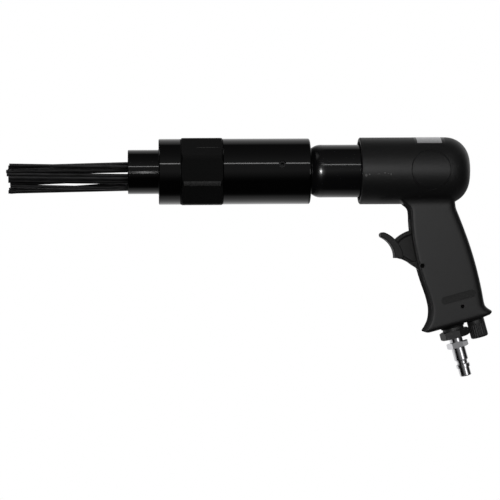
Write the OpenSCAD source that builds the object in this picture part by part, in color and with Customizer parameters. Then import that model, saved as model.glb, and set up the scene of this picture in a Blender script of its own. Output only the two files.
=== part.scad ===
// Pneumatic needle scaler with a pistol grip.
// X runs along the barrel from the nose to the rear, Z is up, and the origin lies on the barrel axis
// at the front edge of the nose tube.

/* [Needles] */
// Diameter of a needle
needle_d = 3; // [2:0.5:3]
// Length of the longest needle, head included
needle_len = 180; // [150:1:190]
// Diameter of a needle's head
needle_head_d = 4.4; // [3.6:0.1:4.8]
// Thickness of a needle's head
needle_head_len = 3.5; // [2:0.5:4]
// Most that a worn needle is shorter than the longest one
needle_wear = 3.6; // [0:0.1:6]
// Radius of the inner ring of needles in the holder, half of the outer ring's
needle_ring_r = 5.4; // [5:0.1:6]

/* [Nose tube] */
// Outer diameter of the nose tube
nose_d = 37.6; // [36:0.1:40]
// Bore of the nose tube
nose_bore_d = 33.2; // [32:0.1:34]
// Length of the nose tube in front of the sleeve
nose_len = 26; // [20:0.5:32]
// Step up in the nose tube's radius where it enters the sleeve
nose_step = 0.5; // [0.3:0.1:1]
// Diameter of the flange that holds the nose tube in the sleeve
nose_flange_d = 44.4; // [42:0.1:44.6]
// Thickness of that flange
nose_flange_len = 5; // [3:0.5:6]

/* [Front sleeve] */
// Outer diameter of the front sleeve and the rear tube
sleeve_d = 56; // [54:0.5:60]
// Length of the front sleeve, without its spigot
sleeve_len = 54.4; // [50:0.1:60]
// Length of the round stretch in front of the wrench flats
sleeve_round_len = 18.8; // [14:0.1:24]
// Thickness of the sleeve's front wall
sleeve_wall = 4; // [3:0.5:6]
// Bore of the sleeve, in which the needle holder slides
sleeve_bore_d = 45; // [44.8:0.1:46]
// Width across the eight wrench flats
flats_w = 56.4; // [56.2:0.1:58]
// Chamfer on the sleeve's front edge
sleeve_chamfer = 1; // [0.5:0.1:2]
// Length of the chamfer on the corners of the flats
flats_chamfer = 2.4; // [1:0.1:4]
// Diameter of the spigot that screws into the rear tube
spigot_d = 50; // [48:0.5:51]
// Length of that spigot
spigot_len = 14; // [10:0.5:18]

/* [Rear tube] */
// Length of the rear tube
tube_len = 74.1; // [70:0.1:80]
// Chamfer on the rear tube's rear edge
tube_chamfer = 1.6; // [0.5:0.1:2.5]

/* [Lock screw] */
// Diameter of the lock screw
screw_d = 6; // [5:0.5:8]
// Length of the lock screw
screw_len = 7.2; // [6:0.1:7.8]
// Distance of the lock screw from the rear tube's rear end
screw_back = 24.7; // [15:0.1:40]
// Angle of the lock screw above the side
screw_angle = 10.5; // [0:0.5:30]
// Width across the flats of its hexagon socket
screw_socket_w = 3; // [2:0.5:4]
// Depth of that socket
screw_socket_depth = 3; // [2:0.5:4]

/* [Return spring] */
// Wire diameter of the return spring
spring_wire_d = 3.5; // [2.5:0.1:4]
// Mean diameter of the return spring
spring_mean_d = 38.8; // [38:0.1:39.6]
// Number of curls of the return spring
spring_curls = 4; // [3:1:5]

/* [Needle holder] */
// Thickness of the drilled plate
holder_plate = 10; // [8:0.5:12]
// Thickness of the skirt that bears on the rear tube
holder_skirt = 4; // [3:0.1:4.5]
// Clearance of a needle in its hole
needle_clearance = 0.2; // [0.1:0.05:0.3]

/* [Anvil] */
// Diameter of the anvil's head
anvil_head_d = 34; // [31:0.5:35]
// Thickness of the anvil's head
anvil_head_len = 13.6; // [11:0.1:15]
// Diameter of the anvil's stem
anvil_stem_d = 16; // [14:0.5:18]
// Length that the stem reaches into the cylinder past its bushing
anvil_reach = 6; // [4:0.5:9]
// Travel of the needle pack and the anvil
needle_stroke = 8; // [4:0.5:8]
// Diameter of the rubber buffer behind the anvil's head
buffer_d = 32; // [30:0.5:35]
// Length of the bronze bushing that guides the stem
bushing_len = 28; // [20:0.5:34]
// Outer diameter of that bushing
bushing_d = 24; // [22.5:0.5:26]

/* [Hammer cylinder] */
// Diameter of the cylinder where it shows
barrel_d = 45; // [43:0.5:46]
// Diameter of the cylinder inside the rear tube
barrel_neck_d = 39; // [38:0.5:40]
// Diameter of the thread that screws into the pistol housing
barrel_thread_d = 42; // [40:0.5:43]
// Bore of the cylinder
barrel_bore_d = 22; // [20:0.5:22]
// Length of the cylinder inside the rear tube
barrel_plug_len = 54.5; // [50:0.5:56]
// Length of the bare neck between the rear tube and the shoulder
barrel_neck_len = 1.2; // [0.8:0.1:5]
// Length of the rounded shoulder
barrel_shoulder_len = 8.4; // [7:0.1:9]
// Radius of that shoulder's rounding
barrel_shoulder_r = 13; // [12.5:0.1:14]
// Length of the cylinder that shows between the rear tube and the pistol housing
barrel_show_len = 42.4; // [38:0.1:48]
// Diameter of the exhaust ports
exhaust_d = 4; // [3:0.5:4.5]
// Number of exhaust ports
exhaust_count = 6; // [4:1:8]

/* [Piston] */
// Length of the piston
piston_len = 52; // [40:0.5:54]
// Width of the two grooves round the piston
piston_groove = 2; // [1:0.5:3]
// Depth of those grooves
piston_groove_depth = 0.8; // [0.4:0.1:1.2]

/* [Hammer valve] */
// Thickness of the valve's seat plate
valve_plate_len = 7; // [5:0.5:8]
// Thickness of the valve cap
valve_cap_len = 15; // [12:0.5:16]
// Diameter of the flap disc
disc_d = 18; // [14:0.5:19]
// Thickness of the flap disc
disc_len = 1.6; // [1.2:0.1:2]
// Travel of the flap disc
disc_travel = 0.8; // [0.4:0.1:1.2]
// Diameter of the air ports through the valve
valve_port_d = 6; // [4:0.5:7]
// Diameter of the dowel that lines up the valve's two halves
dowel_d = 3; // [2:0.5:4]
// Thickness of the spring washer behind the valve
washer_len = 2.4; // [1.5:0.1:3]

/* [Pistol body] */
// Diameter of the pistol body
body_d = 57; // [55:0.5:60]
// Length of the pistol body
body_len = 94.2; // [92:0.1:100]
// Radius of the rounded rear end
dome_r = 20.6; // [16:0.1:24]
// Chamfer on the body's front rim
rim_chamfer = 0.8; // [0.4:0.1:3]
// Diameter of the open exhaust space round the cylinder
exhaust_space_d = 50.4; // [50:0.1:51]
// Depth of that space
exhaust_space_len = 9; // [7:0.5:11]
// Depth of the main bore from the body's front
main_bore_len = 59.2; // [58.8:0.1:62]
// Diameter of the air chamber behind the valve
chamber_d = 24; // [20:0.5:30]
// Depth of the air chamber
chamber_len = 14; // [12:0.5:16]
// Diameter of the drilled air passages
passage_d = 7; // [5:0.5:8]

/* [Grip] */
// Distance from the body's front to the point where the grip's axis meets the barrel axis
grip_back = 43.7; // [42:0.1:46]
// Lean of the grip
grip_tilt = 15; // [12:0.5:16]
// Length of the grip along its axis, from the barrel axis
grip_len = 137.2; // [132:0.1:142]
// Depth that the grip's outline is drawn to
grip_depth = 50; // [49:0.5:53]
// Width of the grip
grip_w = 28; // [27:0.5:31]
// Rounding of the grip's front corners
grip_front_r = 2; // [1.5:0.5:3]
// Rounding of the grip's back corners
grip_back_r = 7; // [5:0.5:10]
// Length of the bare moulded recess in the side of the grip
recess_len = 30.2; // [20:0.2:32]
// Height of that recess
recess_h = 6.6; // [5:0.1:9]
// Depth of that recess
recess_depth = 0.7; // [0.3:0.1:1]
// Distance of the recess from the grip's lower end
recess_up = 22.8; // [18:0.1:30]
// Distance of the recess's middle behind the grip's axis
recess_back = 9.8; // [6:0.1:11]

/* [Trigger] */
// Distance of the trigger pin behind the body's front
trigger_pin_back = 52.2; // [51:0.1:53]
// Distance of the trigger pin below the barrel axis
trigger_pin_drop = 81.2; // [79:0.1:83]
// Diameter of the trigger pin
trigger_pin_d = 3.5; // [3:0.1:4]
// Radius of the trigger's sector about its pin
trigger_r = 31.5; // [30:0.5:32]
// Radius of the finger curve
finger_r = 18.6; // [16:0.1:19]
// Thickness of the finger pad
finger_pad = 6.2; // [5:0.1:7]
// Width of the finger pad
finger_pad_w = 18; // [14:0.5:20]
// Width of the trigger's web, which runs in the grip's slot
trigger_web_w = 9; // [7:0.5:10]
// Side clearance of the web in the slot
trigger_side_gap = 0.5; // [0.3:0.1:0.8]
// Thickness of the web between its two pockets
trigger_core_w = 5; // [4:0.5:6]
// Radius of the trigger's hub
hub_r = 4.2; // [3.8:0.1:4.6]
// Thickness of the rim below the pockets and behind them
trigger_rim = 2.8; // [2:0.1:3.5]
// Thickness of the rim above the pockets
trigger_top_rim = 3.4; // [2.5:0.1:4]
// Turn of the trigger when it is pulled home
trigger_turn = 14; // [8:0.5:14]

/* [Throttle] */
// Height of the throttle stem above the trigger pin
throttle_up = 15.2; // [13:0.1:17]
// Diameter of the throttle bore
throttle_bore_d = 13; // [12:0.5:14]
// Diameter of the throttle stem
stem_d = 5; // [4:0.5:6]
// Length of the throttle bushing
throttle_bushing_len = 12; // [10:0.5:13]
// Bore of the bushing's air space
throttle_seat_d = 9; // [8:0.5:9.5]
// Diameter of the stem's valve head
stem_head_d = 11; // [10.5:0.1:11.6]
// Thickness of the stem's valve head
stem_head_len = 3; // [2:0.5:4]
// Thickness of the rubber seal on the valve head
stem_seal_len = 1.2; // [0.8:0.1:1.6]
// Length of the spring's guide pin on the stem
stem_tail_len = 6; // [4:0.5:7]
// Wire diameter of the throttle spring
throttle_wire_d = 1; // [0.8:0.1:1.2]
// Mean diameter of the throttle spring
throttle_spring_d = 8; // [7.5:0.1:9]
// Number of curls of the throttle spring
throttle_curls = 5; // [4:1:6]
// Length of the throttle spring at rest
throttle_spring_len = 13; // [12:0.5:14]

/* [Regulator] */
// Distance of the regulator behind the grip's axis
regulator_back = 20.3; // [20.2:0.1:21]
// Diameter of the regulator's body in the grip
regulator_d = 16.8; // [16.5:0.1:17]
// Length of that body
regulator_len = 35; // [33:0.5:37]
// Diameter of the regulator's knob
knob_d = 15.1; // [13:0.1:15.2]
// Length of the knob below the grip
knob_len = 16; // [12:0.1:18]
// Length of the plain collar above the knurl
knob_collar = 3.6; // [2:0.1:5]
// Number of grooves in the knurl
knurl_count = 24; // [16:1:30]
// Depth of the knurl
knurl_depth = 0.5; // [0.3:0.1:0.7]
// Diameter of the pin that holds the regulator
regulator_pin_d = 2.8; // [2.4:0.1:3]
// Distance of that pin from the grip's lower end
regulator_pin_up = 14.2; // [12:0.1:16]
// Thickness of the regulator's seal ring
seal_d = 2; // [1.6:0.1:2.4]

/* [Air inlet] */
// Diameter of the inlet bushing's thread in the grip
inlet_thread_d = 16.6; // [16:0.1:17]
// Length of that thread
inlet_thread_len = 22; // [18:0.5:24]
// Diameter of the inlet passage above the bushing
inlet_bore_d = 12; // [10:0.5:12.5]
// Length of the inlet passage above the bushing
inlet_bore_len = 24; // [20:0.5:25]
// Outer diameter of the sealing washer
inlet_washer_d = 20.4; // [19:0.1:22]
// Thickness of the sealing washer
inlet_washer_len = 1.6; // [1:0.1:2]
// Diameter of the bushing's neck
inlet_neck_d = 18.4; // [18:0.1:20]
// Length of the bushing's neck
inlet_neck_len = 2.4; // [1.5:0.1:3]
// Width across the flats of the bushing's hexagon
inlet_hex_w = 22.2; // [20:0.1:22.4]
// Height of the bushing's hexagon
inlet_hex_len = 6.8; // [5:0.1:8]
// Turn of the bushing's hexagon about its axis
inlet_hex_turn = 44; // [25:0.5:45]
// Bore of the bushing
inlet_bushing_bore_d = 9; // [8:0.5:10]
// Diameter of the strainer
strainer_d = 11; // [10.5:0.1:11.8]
// Length of the strainer
strainer_len = 11; // [8:0.5:14]
// Wall of the strainer
strainer_wall = 0.6; // [0.4:0.1:0.8]

/* [Air plug] */
// Diameter of the plug's thread
plug_thread_d = 13; // [12:0.1:13.5]
// Length of the plug's thread inside the bushing
plug_thread_len = 11; // [8:0.5:12]
// Diameter of the neck above the plug's hexagon
plug_neck_d = 11.6; // [10:0.1:12.4]
// Length of that neck
plug_neck_len = 3.4; // [2:0.1:5]
// Width across the flats of the plug's hexagon
plug_hex_w = 16; // [14:0.1:17]
// Height of the plug's hexagon
plug_hex_len = 5.2; // [3.5:0.1:6]
// Turn of the plug's hexagon about its axis
plug_hex_turn = 54; // [0:0.5:60]
// Diameter of the plug's round body
plug_d = 11.9; // [11:0.1:12.4]
// Length of the plug's round body
plug_body_len = 11.2; // [9:0.1:13]
// Diameter of the locking groove
plug_groove_d = 9.2; // [8.6:0.1:10]
// Length of the locking groove
plug_groove_len = 3.5; // [2.5:0.1:5]
// Length of the locking ring
plug_ring_len = 3.1; // [2:0.1:4]
// Diameter of the plug's tip
plug_tip_d = 10; // [9:0.1:11]
// Length of the plug's tip
plug_tip_len = 7.3; // [5:0.1:8]
// Bore of the plug
plug_bore_d = 7.2; // [6:0.1:7.6]

/* [Fits] */
// Radial gap of a piece that is fixed inside another
fixed_gap = 0.05; // [0.03:0.01:0.1]
// Radial gap of a piece that slides or turns in its guide
running_gap = 0.06; // [0.04:0.01:0.1]
// Gap between moving pieces that meet but don't guide each other
seat_gap = 0.3; // [0.2:0.05:0.4]

/* [Hidden] */
$fn = 64;
// Overrun of a cut past the face that it opens
cut = 1;

// Places along the barrel axis
sleeve_x = nose_len;
tube_x = sleeve_x + sleeve_len;
tube_end_x = tube_x + tube_len;
body_x = tube_end_x + barrel_show_len;
barrel_x = tube_end_x - barrel_plug_len;
flange_end_x = sleeve_x + sleeve_wall + nose_flange_len;
spigot_end_x = tube_x + spigot_len;
tube_shoulder_x = spigot_end_x + seat_gap;
// Length that the holder's skirt reaches past the anvil's head
holder_lip = 3;
holder_len = holder_plate + needle_head_len + anvil_head_len + 2 * seat_gap + holder_lip;
holder_x = tube_shoulder_x - seat_gap - holder_len;
needle_end_x = holder_x + holder_plate + needle_head_len;
anvil_x = needle_end_x + seat_gap;
anvil_end_x = barrel_x + bushing_len + anvil_reach;
buffer_len = barrel_x - anvil_x - anvil_head_len - seat_gap;
holder_d = sleeve_bore_d - 2 * seat_gap;
barrel_end_x = body_x + main_bore_len - washer_len - valve_cap_len - valve_plate_len;
piston_x = barrel_end_x - seat_gap - piston_len;
piston_stroke = piston_x - anvil_end_x - seat_gap;
valve_cap_x = barrel_end_x + valve_plate_len;
main_bore_end_x = body_x + main_bore_len;
disc_space = disc_len + disc_travel + 2 * seat_gap;
screw_x = tube_end_x - screw_back;

// Needles, in the holder's order: the middle one, the inner ring and the outer ring.
// Each row has the needle's side and height at the nose's mouth, the same at its tip, both as
// shares of the nose bore's radius, and its share of the greatest wear.
needle_shares = [
    [0.08, -0.19, 0.02, -0.10, 0.1], [0.29, -0.34, 0.40, -0.25, 0.5], [0.04, 0.23, 0.02, 0.11, 0.3],
    [-0.16, 0.08, -0.22, 0.05, 0.0], [-0.08, -0.35, -0.14, -0.60, 0.9], [-0.29, -0.50, -0.37, -0.44, 0.7],
    [0.10, -0.52, 0.07, -0.43, 0.4], [0.20, 0.08, 0.23, -0.06, 0.2], [0.36, 0.25, 0.45, 0.05, 0.4],
    [0.20, 0.42, 0.28, 0.18, 0.6], [-0.13, 0.42, -0.18, 0.27, 0.5], [-0.35, 0.24, -0.40, 0.36, 0.8],
    [-0.28, -0.19, -0.45, -0.11, 0.2], [-0.44, -0.35, -0.53, -0.29, 0.6], [-0.24, -0.85, -0.34, -0.69, 1.0],
    [-0.05, -0.735, -0.06, -0.86, 0.6], [0.12, -0.87, 0.13, -0.98, 0.4], [0.30, -0.57, 0.33, -0.99, 0.8],
    [0.50, -0.45, 0.60, -0.40, 0.7]
];
needle_count = len(needle_shares);
inner_count = 6;
outer_count = 12;
// A bend is a bead that is this share of the needle's diameter, and the rods stop this share short of it
bead_share = 1.05;
trim_share = 0.1;
// Turn of a bead about its needle
bead_turn = 45;

// The grip's outline, from inside the body down to the foot. Each row has the front edge's place across
// and along the grip, the back edge's place across and along it, and the half width,
// as shares of the grip's depth, length, depth, length and half width.
grip_shares = [
    [-0.320, 0.119, 0.580, 0.208, 1.23], [-0.315, 0.157, 0.585, 0.246, 1.07],
    [-0.262, 0.192, 0.583, 0.272, 1.00], [-0.203, 0.225, 0.574, 0.298, 1.00],
    [-0.211, 0.265, 0.586, 0.340, 1.00], [-0.247, 0.322, 0.606, 0.406, 1.00],
    [-0.296, 0.438, 0.634, 0.526, 1.00], [-0.314, 0.572, 0.645, 0.644, 1.00],
    [-0.308, 0.686, 0.641, 0.753, 1.00], [-0.290, 0.778, 0.628, 0.839, 1.00],
    [-0.300, 0.860, 0.613, 0.901, 1.00], [-0.359, 0.922, 0.615, 0.932, 1.00],
    [-0.447, 0.963, 0.653, 0.954, 1.00], [-0.514, 0.983, 0.714, 0.977, 1.00]
];
// Rings between two rows of the outline, and steps round the front and back corners
grip_steps = 2;
front_steps = 3;
back_steps = 5;
// Inset of the foot's rounded edge at its two last rings, as shares of the front corner's rounding,
// and the same at the heel, whose underside rises
foot_inset_shares = [0.45, 1.5];
heel_inset_shares = [1.2, 5.1];
foot_drop_share = 0.6;

// Places in the pistol grip
grip_x = body_x + grip_back;
pin_x = body_x + trigger_pin_back;
pin_z = -trigger_pin_drop;
throttle_z = pin_z + throttle_up;
slot_w = trigger_web_w + 2 * trigger_side_gap;
// Room in the slot behind the hub
slot_room = 1.2;
slot_end_x = pin_x + hub_r + slot_room;
// Reach of the slot above the trigger's sector and below its pin, as shares of the sector's radius
slot_top_share = 1.28;
slot_foot_share = 0.27;
throttle_x = slot_end_x + seat_gap;
throttle_bore_end_x = throttle_x + throttle_bushing_len + 2 * seat_gap + stem_seal_len + stem_head_len
    + throttle_spring_len;
stem_seal_x = throttle_x + throttle_bushing_len + seat_gap;
// Radius of the front sleeve's turned blank, as a share of its flats' corner radius
blank_share = 1.02;
// Place of the throttle's air port along its bushing
port_share = 0.66;
port_x = throttle_x + throttle_bushing_len * port_share;
regulator_top_q = grip_len - regulator_len;
// Place along the grip where the regulator's axis meets the throttle's
throttle_q = (regulator_back * sin(grip_tilt) - throttle_z) / cos(grip_tilt);
// Place along the grip's axis of the cross passage between the inlet and the regulator
cross_q = regulator_top_q + passage_d;
inlet_top_q = grip_len - inlet_thread_len - inlet_bore_len;

// Trigger outline about its pin, as shares of the sector's radius
finger_centre_shares = [-1.31, 0.231];
finger_back_shift_shares = [0.026, -0.057];
web_front_angle = 132;
web_back_angle = 100;
finger_start_angle = -2;
finger_end_angle = 65;
// Rounding of the pad's upper end as a share of the pad's thickness
finger_tip_share = 0.39;
// The trigger's lower edge, from its hub to its pad
rim_shares = [[-0.095, -0.076], [-0.244, 0.019], [-0.371, 0.111], [-0.492, 0.171], [-0.603, 0.197]];
hub_back_shares = [0.064, 0.158];
// Ends of the trigger's straight back, the upper one past the sector's rim
hub_back = trigger_r * hub_back_shares;
web_back_top = 2 * trigger_r * turned_to(web_back_angle);

gloss_black = "#141416";
satin_black = "#232427";
matte_black = "#1b1b1c";
steel = "#8d9094";
dark_steel = "#3a3b3d";
chrome = "#cfd2d4";
bronze = "#a8834a";
rubber = "#202020";

function needle_name(i) = str("needle_", i < 9 ? "0" : "", i + 1);

// A shape turned about the barrel axis, from points of [radius, place along X]
module turned(points) {
    rotate([0, 90, 0]) rotate_extrude() polygon(points);
}

// A round bar along X
module bar_x(x0, x1, d) {
    translate([x0, 0, 0]) rotate([0, 90, 0]) cylinder(h = x1 - x0, d = d);
}

// A round bar along Y, centred on the part's middle plane
module bar_y(length, d) {
    rotate([90, 0, 0]) cylinder(h = length, d = d, center = true);
}

// A shape along Z, set at a point and turned to point along a vector
module along(at, v) {
    translate(at) rotate([0, acos(v.z / norm(v)), atan2(v.y, v.x)]) children();
}

// A round rod from one point to another
module rod(a, b, d) {
    along(a, b - a) cylinder(h = norm(b - a), d = d);
}

// The grip's own frame: X across it to the rear, Z up along its axis
module in_grip() {
    translate([grip_x, 0, 0]) rotate([0, -grip_tilt, 0]) children();
}

// A round bar along an axis of the grip, between two places down that axis
module bar_q(q0, q1, d, p = 0) {
    translate([p, 0, -q1]) cylinder(h = q1 - q0, d = d);
}

// A shape turned about an axis of the grip, from points of [radius, place down that axis]
module turned_q(points) {
    rotate_extrude() polygon([for (pt = points) [pt.x, -pt.y]]);
}

// A hexagon down the grip's axis with its corners turned off at both ends
module hexagon_q(q0, q1, width, turn, bevel_share) {
    corner_r = width / 2 / cos(180 / 6);
    bevel = (corner_r - width / 2) * bevel_share;
    intersection() {
        translate([0, 0, -q1]) rotate([0, 0, turn]) cylinder(h = q1 - q0, r = corner_r, $fn = 6);
        turned_q([[0, q0], [corner_r - 2 * bevel, q0], [corner_r, q0 + bevel], [corner_r, q1 - bevel],
                  [corner_r - 2 * bevel, q1], [0, q1]]);
    }
}

// A helical spring along Z from 0 to its length, as one unbroken tube
function coil_point(length, mean_d, wire_d, curls, turn) =
    [mean_d / 2 * cos(360 * turn), mean_d / 2 * sin(360 * turn),
     wire_d / 2 + (length - wire_d) * turn / curls];
module coil(length, mean_d, wire_d, curls) {
    rings = 8 * curls;
    sides = 6;
    slope = atan2((length - wire_d) / curls, PI * mean_d);
    points = [for (i = [0:rings], k = [0:sides - 1])
        let (turn = i / 8, c = coil_point(length, mean_d, wire_d, curls, turn),
             out = wire_d / 2 * cos(360 * k / sides), up = wire_d / 2 * sin(360 * k / sides))
        c + [out * cos(360 * turn) + up * sin(slope) * sin(360 * turn),
             out * sin(360 * turn) - up * sin(slope) * cos(360 * turn), up * cos(slope)]];
    sheath = [for (i = [0:rings - 1], k = [0:sides - 1])
        let (a = i * sides + k, b = i * sides + (k + 1) % sides)
        each [[a, b, b + sides], [a, b + sides, a + sides]]];
    first = [for (k = [1:sides - 2]) [0, k + 1, k]];
    last = [for (k = [1:sides - 2]) [rings * sides, rings * sides + k, rings * sides + k + 1]];
    polyhedron(points, concat(sheath, first, last));
    echo(coil_gap = (length - wire_d) / curls * cos(slope) - wire_d);
}

// Needles
function ring_hole(i) =
    i == 0 ? [0, 0]
    : i <= inner_count ? needle_ring_r * turned_to(360 * (i - 1) / inner_count)
    : 2 * needle_ring_r * turned_to(360 * (i - inner_count - 1 / 2) / outer_count);
function turned_to(angle) = [cos(angle), sin(angle)];
function at_x(x, yz) = [x, yz.x, yz.y];
function mouth_place(i) = nose_bore_d / 2 * [needle_shares[i][0], needle_shares[i][1]];
function tip_place(i) = nose_bore_d / 2 * [needle_shares[i][2], needle_shares[i][3]];
function unit(v) = v / norm(v);
module bent_rod(a, b, c, d) {
    trim = trim_share * d;
    into = unit(b - a);
    out = unit(c - b);
    rod(a + into * trim, b - into * trim, d);
    rod(b + out * trim, c, d);
    along(a, into - [1, 0, 0]) rotate(bead_turn) sphere(d = d * bead_share);
    along(b, into + out) rotate(bead_turn) sphere(d = d * bead_share);
}
module needle(i) {
    hole = ring_hole(i);
    head_x = needle_end_x - needle_head_len;
    bend = at_x(holder_x, hole);
    mouth = at_x(0, mouth_place(i));
    tip = at_x(needle_end_x - needle_len + needle_wear * needle_shares[i][4], tip_place(i));
    color(dark_steel) union() {
        translate([0, hole.x, hole.y]) {
            bar_x(head_x, needle_end_x, needle_head_d);
            bar_x(holder_x + trim_share * needle_d, head_x, needle_d);
        }
        bent_rod(bend, mouth, tip, needle_d);
    }
}

// Nose and sleeves
module nose_tube() {
    bore_r = nose_bore_d / 2;
    r = nose_d / 2;
    step_r = r + nose_step;
    step_x = sleeve_x - seat_gap;
    flange_r = nose_flange_d / 2;
    flange_x = sleeve_x + sleeve_wall;
    color(gloss_black) turned([[bore_r, 0], [r, 0], [r, step_x], [step_r, step_x], [step_r, flange_x],
        [flange_r, flange_x], [flange_r, flange_end_x], [bore_r, flange_end_x]]);
}

module front_sleeve() {
    r = sleeve_d / 2;
    flats_x = sleeve_x + sleeve_round_len;
    flats_len = tube_x - flats_x;
    corner_r = flats_w / 2 / cos(180 / 8);
    blank_r = corner_r * blank_share;
    color(matte_black) difference() {
        turned([[0, sleeve_x], [r - sleeve_chamfer, sleeve_x], [r, sleeve_x + sleeve_chamfer], [r, flats_x],
                [blank_r, flats_x + flats_chamfer], [blank_r, tube_x - flats_chamfer], [r, tube_x],
                [spigot_d / 2, tube_x], [spigot_d / 2, spigot_end_x], [0, spigot_end_x]]);
        translate([flats_x, 0, 0]) rotate([0, 90, 0]) difference() {
            cylinder(h = flats_len + cut, r = 2 * blank_r);
            translate([0, 0, -cut]) rotate(180 / 8) cylinder(h = flats_len + 3 * cut, r = corner_r, $fn = 8);
        }
        bar_x(sleeve_x - cut, tube_x, nose_d + 2 * (nose_step + fixed_gap));
        bar_x(sleeve_x + sleeve_wall, spigot_end_x + cut, sleeve_bore_d);
    }
}

module rear_tube() {
    r = sleeve_d / 2;
    seat_r = spigot_d / 2 + fixed_gap;
    bore_r = barrel_neck_d / 2 + fixed_gap;
    color(gloss_black) difference() {
        turned([[seat_r, tube_x], [r, tube_x], [r, tube_end_x - tube_chamfer], [r - tube_chamfer, tube_end_x],
                [bore_r, tube_end_x], [bore_r, tube_shoulder_x], [seat_r, tube_shoulder_x]]);
        at_lock_screw() cylinder(h = sleeve_d, d = screw_d + 2 * fixed_gap);
    }
}

// The lock screw's frame: Z points out of the tube along the screw
module at_lock_screw() {
    translate([screw_x, 0, 0]) rotate([90 - screw_angle, 0, 0]) children();
}

module lock_screw() {
    color(dark_steel) at_lock_screw() translate([0, 0, barrel_neck_d / 2 + 2 * fixed_gap]) difference() {
        cylinder(h = screw_len, d = screw_d);
        translate([0, 0, screw_len - screw_socket_depth])
            cylinder(h = screw_socket_depth + cut, d = screw_socket_w / cos(180 / 6), $fn = 6);
    }
}

// Needle drive
module needle_holder() {
    plate_x = holder_x + holder_plate;
    r = holder_d / 2;
    color(steel) difference() {
        turned([[0, holder_x], [r, holder_x], [r, holder_x + holder_len],
                [r - holder_skirt, holder_x + holder_len], [r - holder_skirt, plate_x], [0, plate_x]]);
        for (i = [0:needle_count - 1]) translate([0, ring_hole(i).x, ring_hole(i).y])
            bar_x(holder_x - cut, plate_x + cut, needle_d + 2 * needle_clearance);
    }
}

module return_spring() {
    color(steel) translate([flange_end_x, 0, 0]) rotate([0, 90, 0])
        coil(holder_x - flange_end_x, spring_mean_d, spring_wire_d, spring_curls);
}

module anvil() {
    head_r = anvil_head_d / 2;
    stem_r = anvil_stem_d / 2;
    head_end_x = anvil_x + anvil_head_len;
    color(steel) turned([[0, anvil_x], [head_r - cut, anvil_x], [head_r, anvil_x + cut],
        [head_r, head_end_x], [stem_r, head_end_x], [stem_r, anvil_end_x - cut], [stem_r - cut, anvil_end_x],
        [0, anvil_end_x]]);
}

module anvil_buffer() {
    bore_r = anvil_stem_d / 2 + seat_gap;
    color(rubber) turned([[bore_r, barrel_x - buffer_len], [buffer_d / 2, barrel_x - buffer_len],
        [buffer_d / 2, barrel_x], [bore_r, barrel_x]]);
}

module anvil_bushing() {
    color(bronze) difference() {
        bar_x(barrel_x, barrel_x + bushing_len, bushing_d);
        bar_x(barrel_x - cut, barrel_x + bushing_len + cut, anvil_stem_d + 2 * running_gap);
    }
}

// Hammer
module hammer_cylinder() {
    neck_r = barrel_neck_d / 2;
    r = barrel_d / 2;
    shoulder_x = tube_end_x + barrel_neck_len;
    shoulder_end_x = shoulder_x + barrel_shoulder_len;
    thread_x = body_x + exhaust_space_len;
    ports_x = body_x + exhaust_space_len / 2;
    color(gloss_black) difference() {
        rotate([0, 90, 0]) rotate_extrude() {
            polygon([[0, barrel_x], [neck_r, barrel_x], [neck_r, shoulder_end_x], [r, shoulder_end_x],
                     [r, thread_x], [barrel_thread_d / 2, thread_x], [barrel_thread_d / 2, barrel_end_x],
                     [0, barrel_end_x]]);
            intersection() {
                translate([r - barrel_shoulder_r, shoulder_end_x]) circle(barrel_shoulder_r);
                translate([0, shoulder_x]) square([r, barrel_shoulder_len]);
            }
        }
        bar_x(barrel_x - cut, barrel_x + bushing_len, bushing_d + 2 * fixed_gap);
        bar_x(barrel_x, barrel_end_x + cut, barrel_bore_d);
        for (i = [0:exhaust_count - 1]) translate([ports_x, 0, 0]) rotate([360 * i / exhaust_count, 0, 0])
            cylinder(h = barrel_d, d = exhaust_d);
    }
}

module piston() {
    r = barrel_bore_d / 2 - running_gap;
    low_r = r - piston_groove_depth;
    end_x = piston_x + piston_len;
    groove_front_x = piston_x + piston_len / 4;
    groove_back_x = end_x - piston_len / 4;
    color(steel) turned([[0, piston_x], [r - cut, piston_x], [r, piston_x + cut],
        [r, groove_front_x], [low_r, groove_front_x], [low_r, groove_front_x + piston_groove],
        [r, groove_front_x + piston_groove], [r, groove_back_x], [low_r, groove_back_x],
        [low_r, groove_back_x + piston_groove], [r, groove_back_x + piston_groove], [r, end_x], [0, end_x]]);
}

// Hammer valve
valve_d = barrel_thread_d;
dowel_r = (valve_d + disc_d) / 4;
module valve_plate() {
    color(steel) difference() {
        bar_x(barrel_end_x, valve_cap_x, valve_d);
        bar_x(barrel_end_x - cut, valve_cap_x + cut, valve_port_d);
        translate([0, 0, dowel_r]) bar_x(barrel_end_x + valve_plate_len / 2, valve_cap_x + cut,
            dowel_d + 2 * fixed_gap);
    }
}

module valve_disc() {
    disc_x = valve_cap_x + seat_gap;
    color(steel) difference() {
        bar_x(disc_x, disc_x + disc_len, disc_d);
        for (side = [-1, 1]) translate([0, side * disc_d / 4, 0])
            bar_x(disc_x - cut, disc_x + disc_len + cut, valve_port_d / 3);
    }
}

module valve_cap() {
    end_x = valve_cap_x + valve_cap_len;
    color(steel) difference() {
        bar_x(valve_cap_x, end_x, valve_d);
        bar_x(valve_cap_x - cut, valve_cap_x + disc_space, disc_d + 2 * seat_gap);
        bar_x(valve_cap_x, end_x + cut, valve_port_d);
        translate([0, 0, dowel_r]) bar_x(valve_cap_x - cut, valve_cap_x + valve_cap_len / 2,
            dowel_d + 2 * fixed_gap);
    }
}

module valve_dowel() {
    color(steel) translate([0, 0, dowel_r])
        bar_x(barrel_end_x + valve_plate_len / 2, valve_cap_x + valve_cap_len / 2, dowel_d);
}

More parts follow.
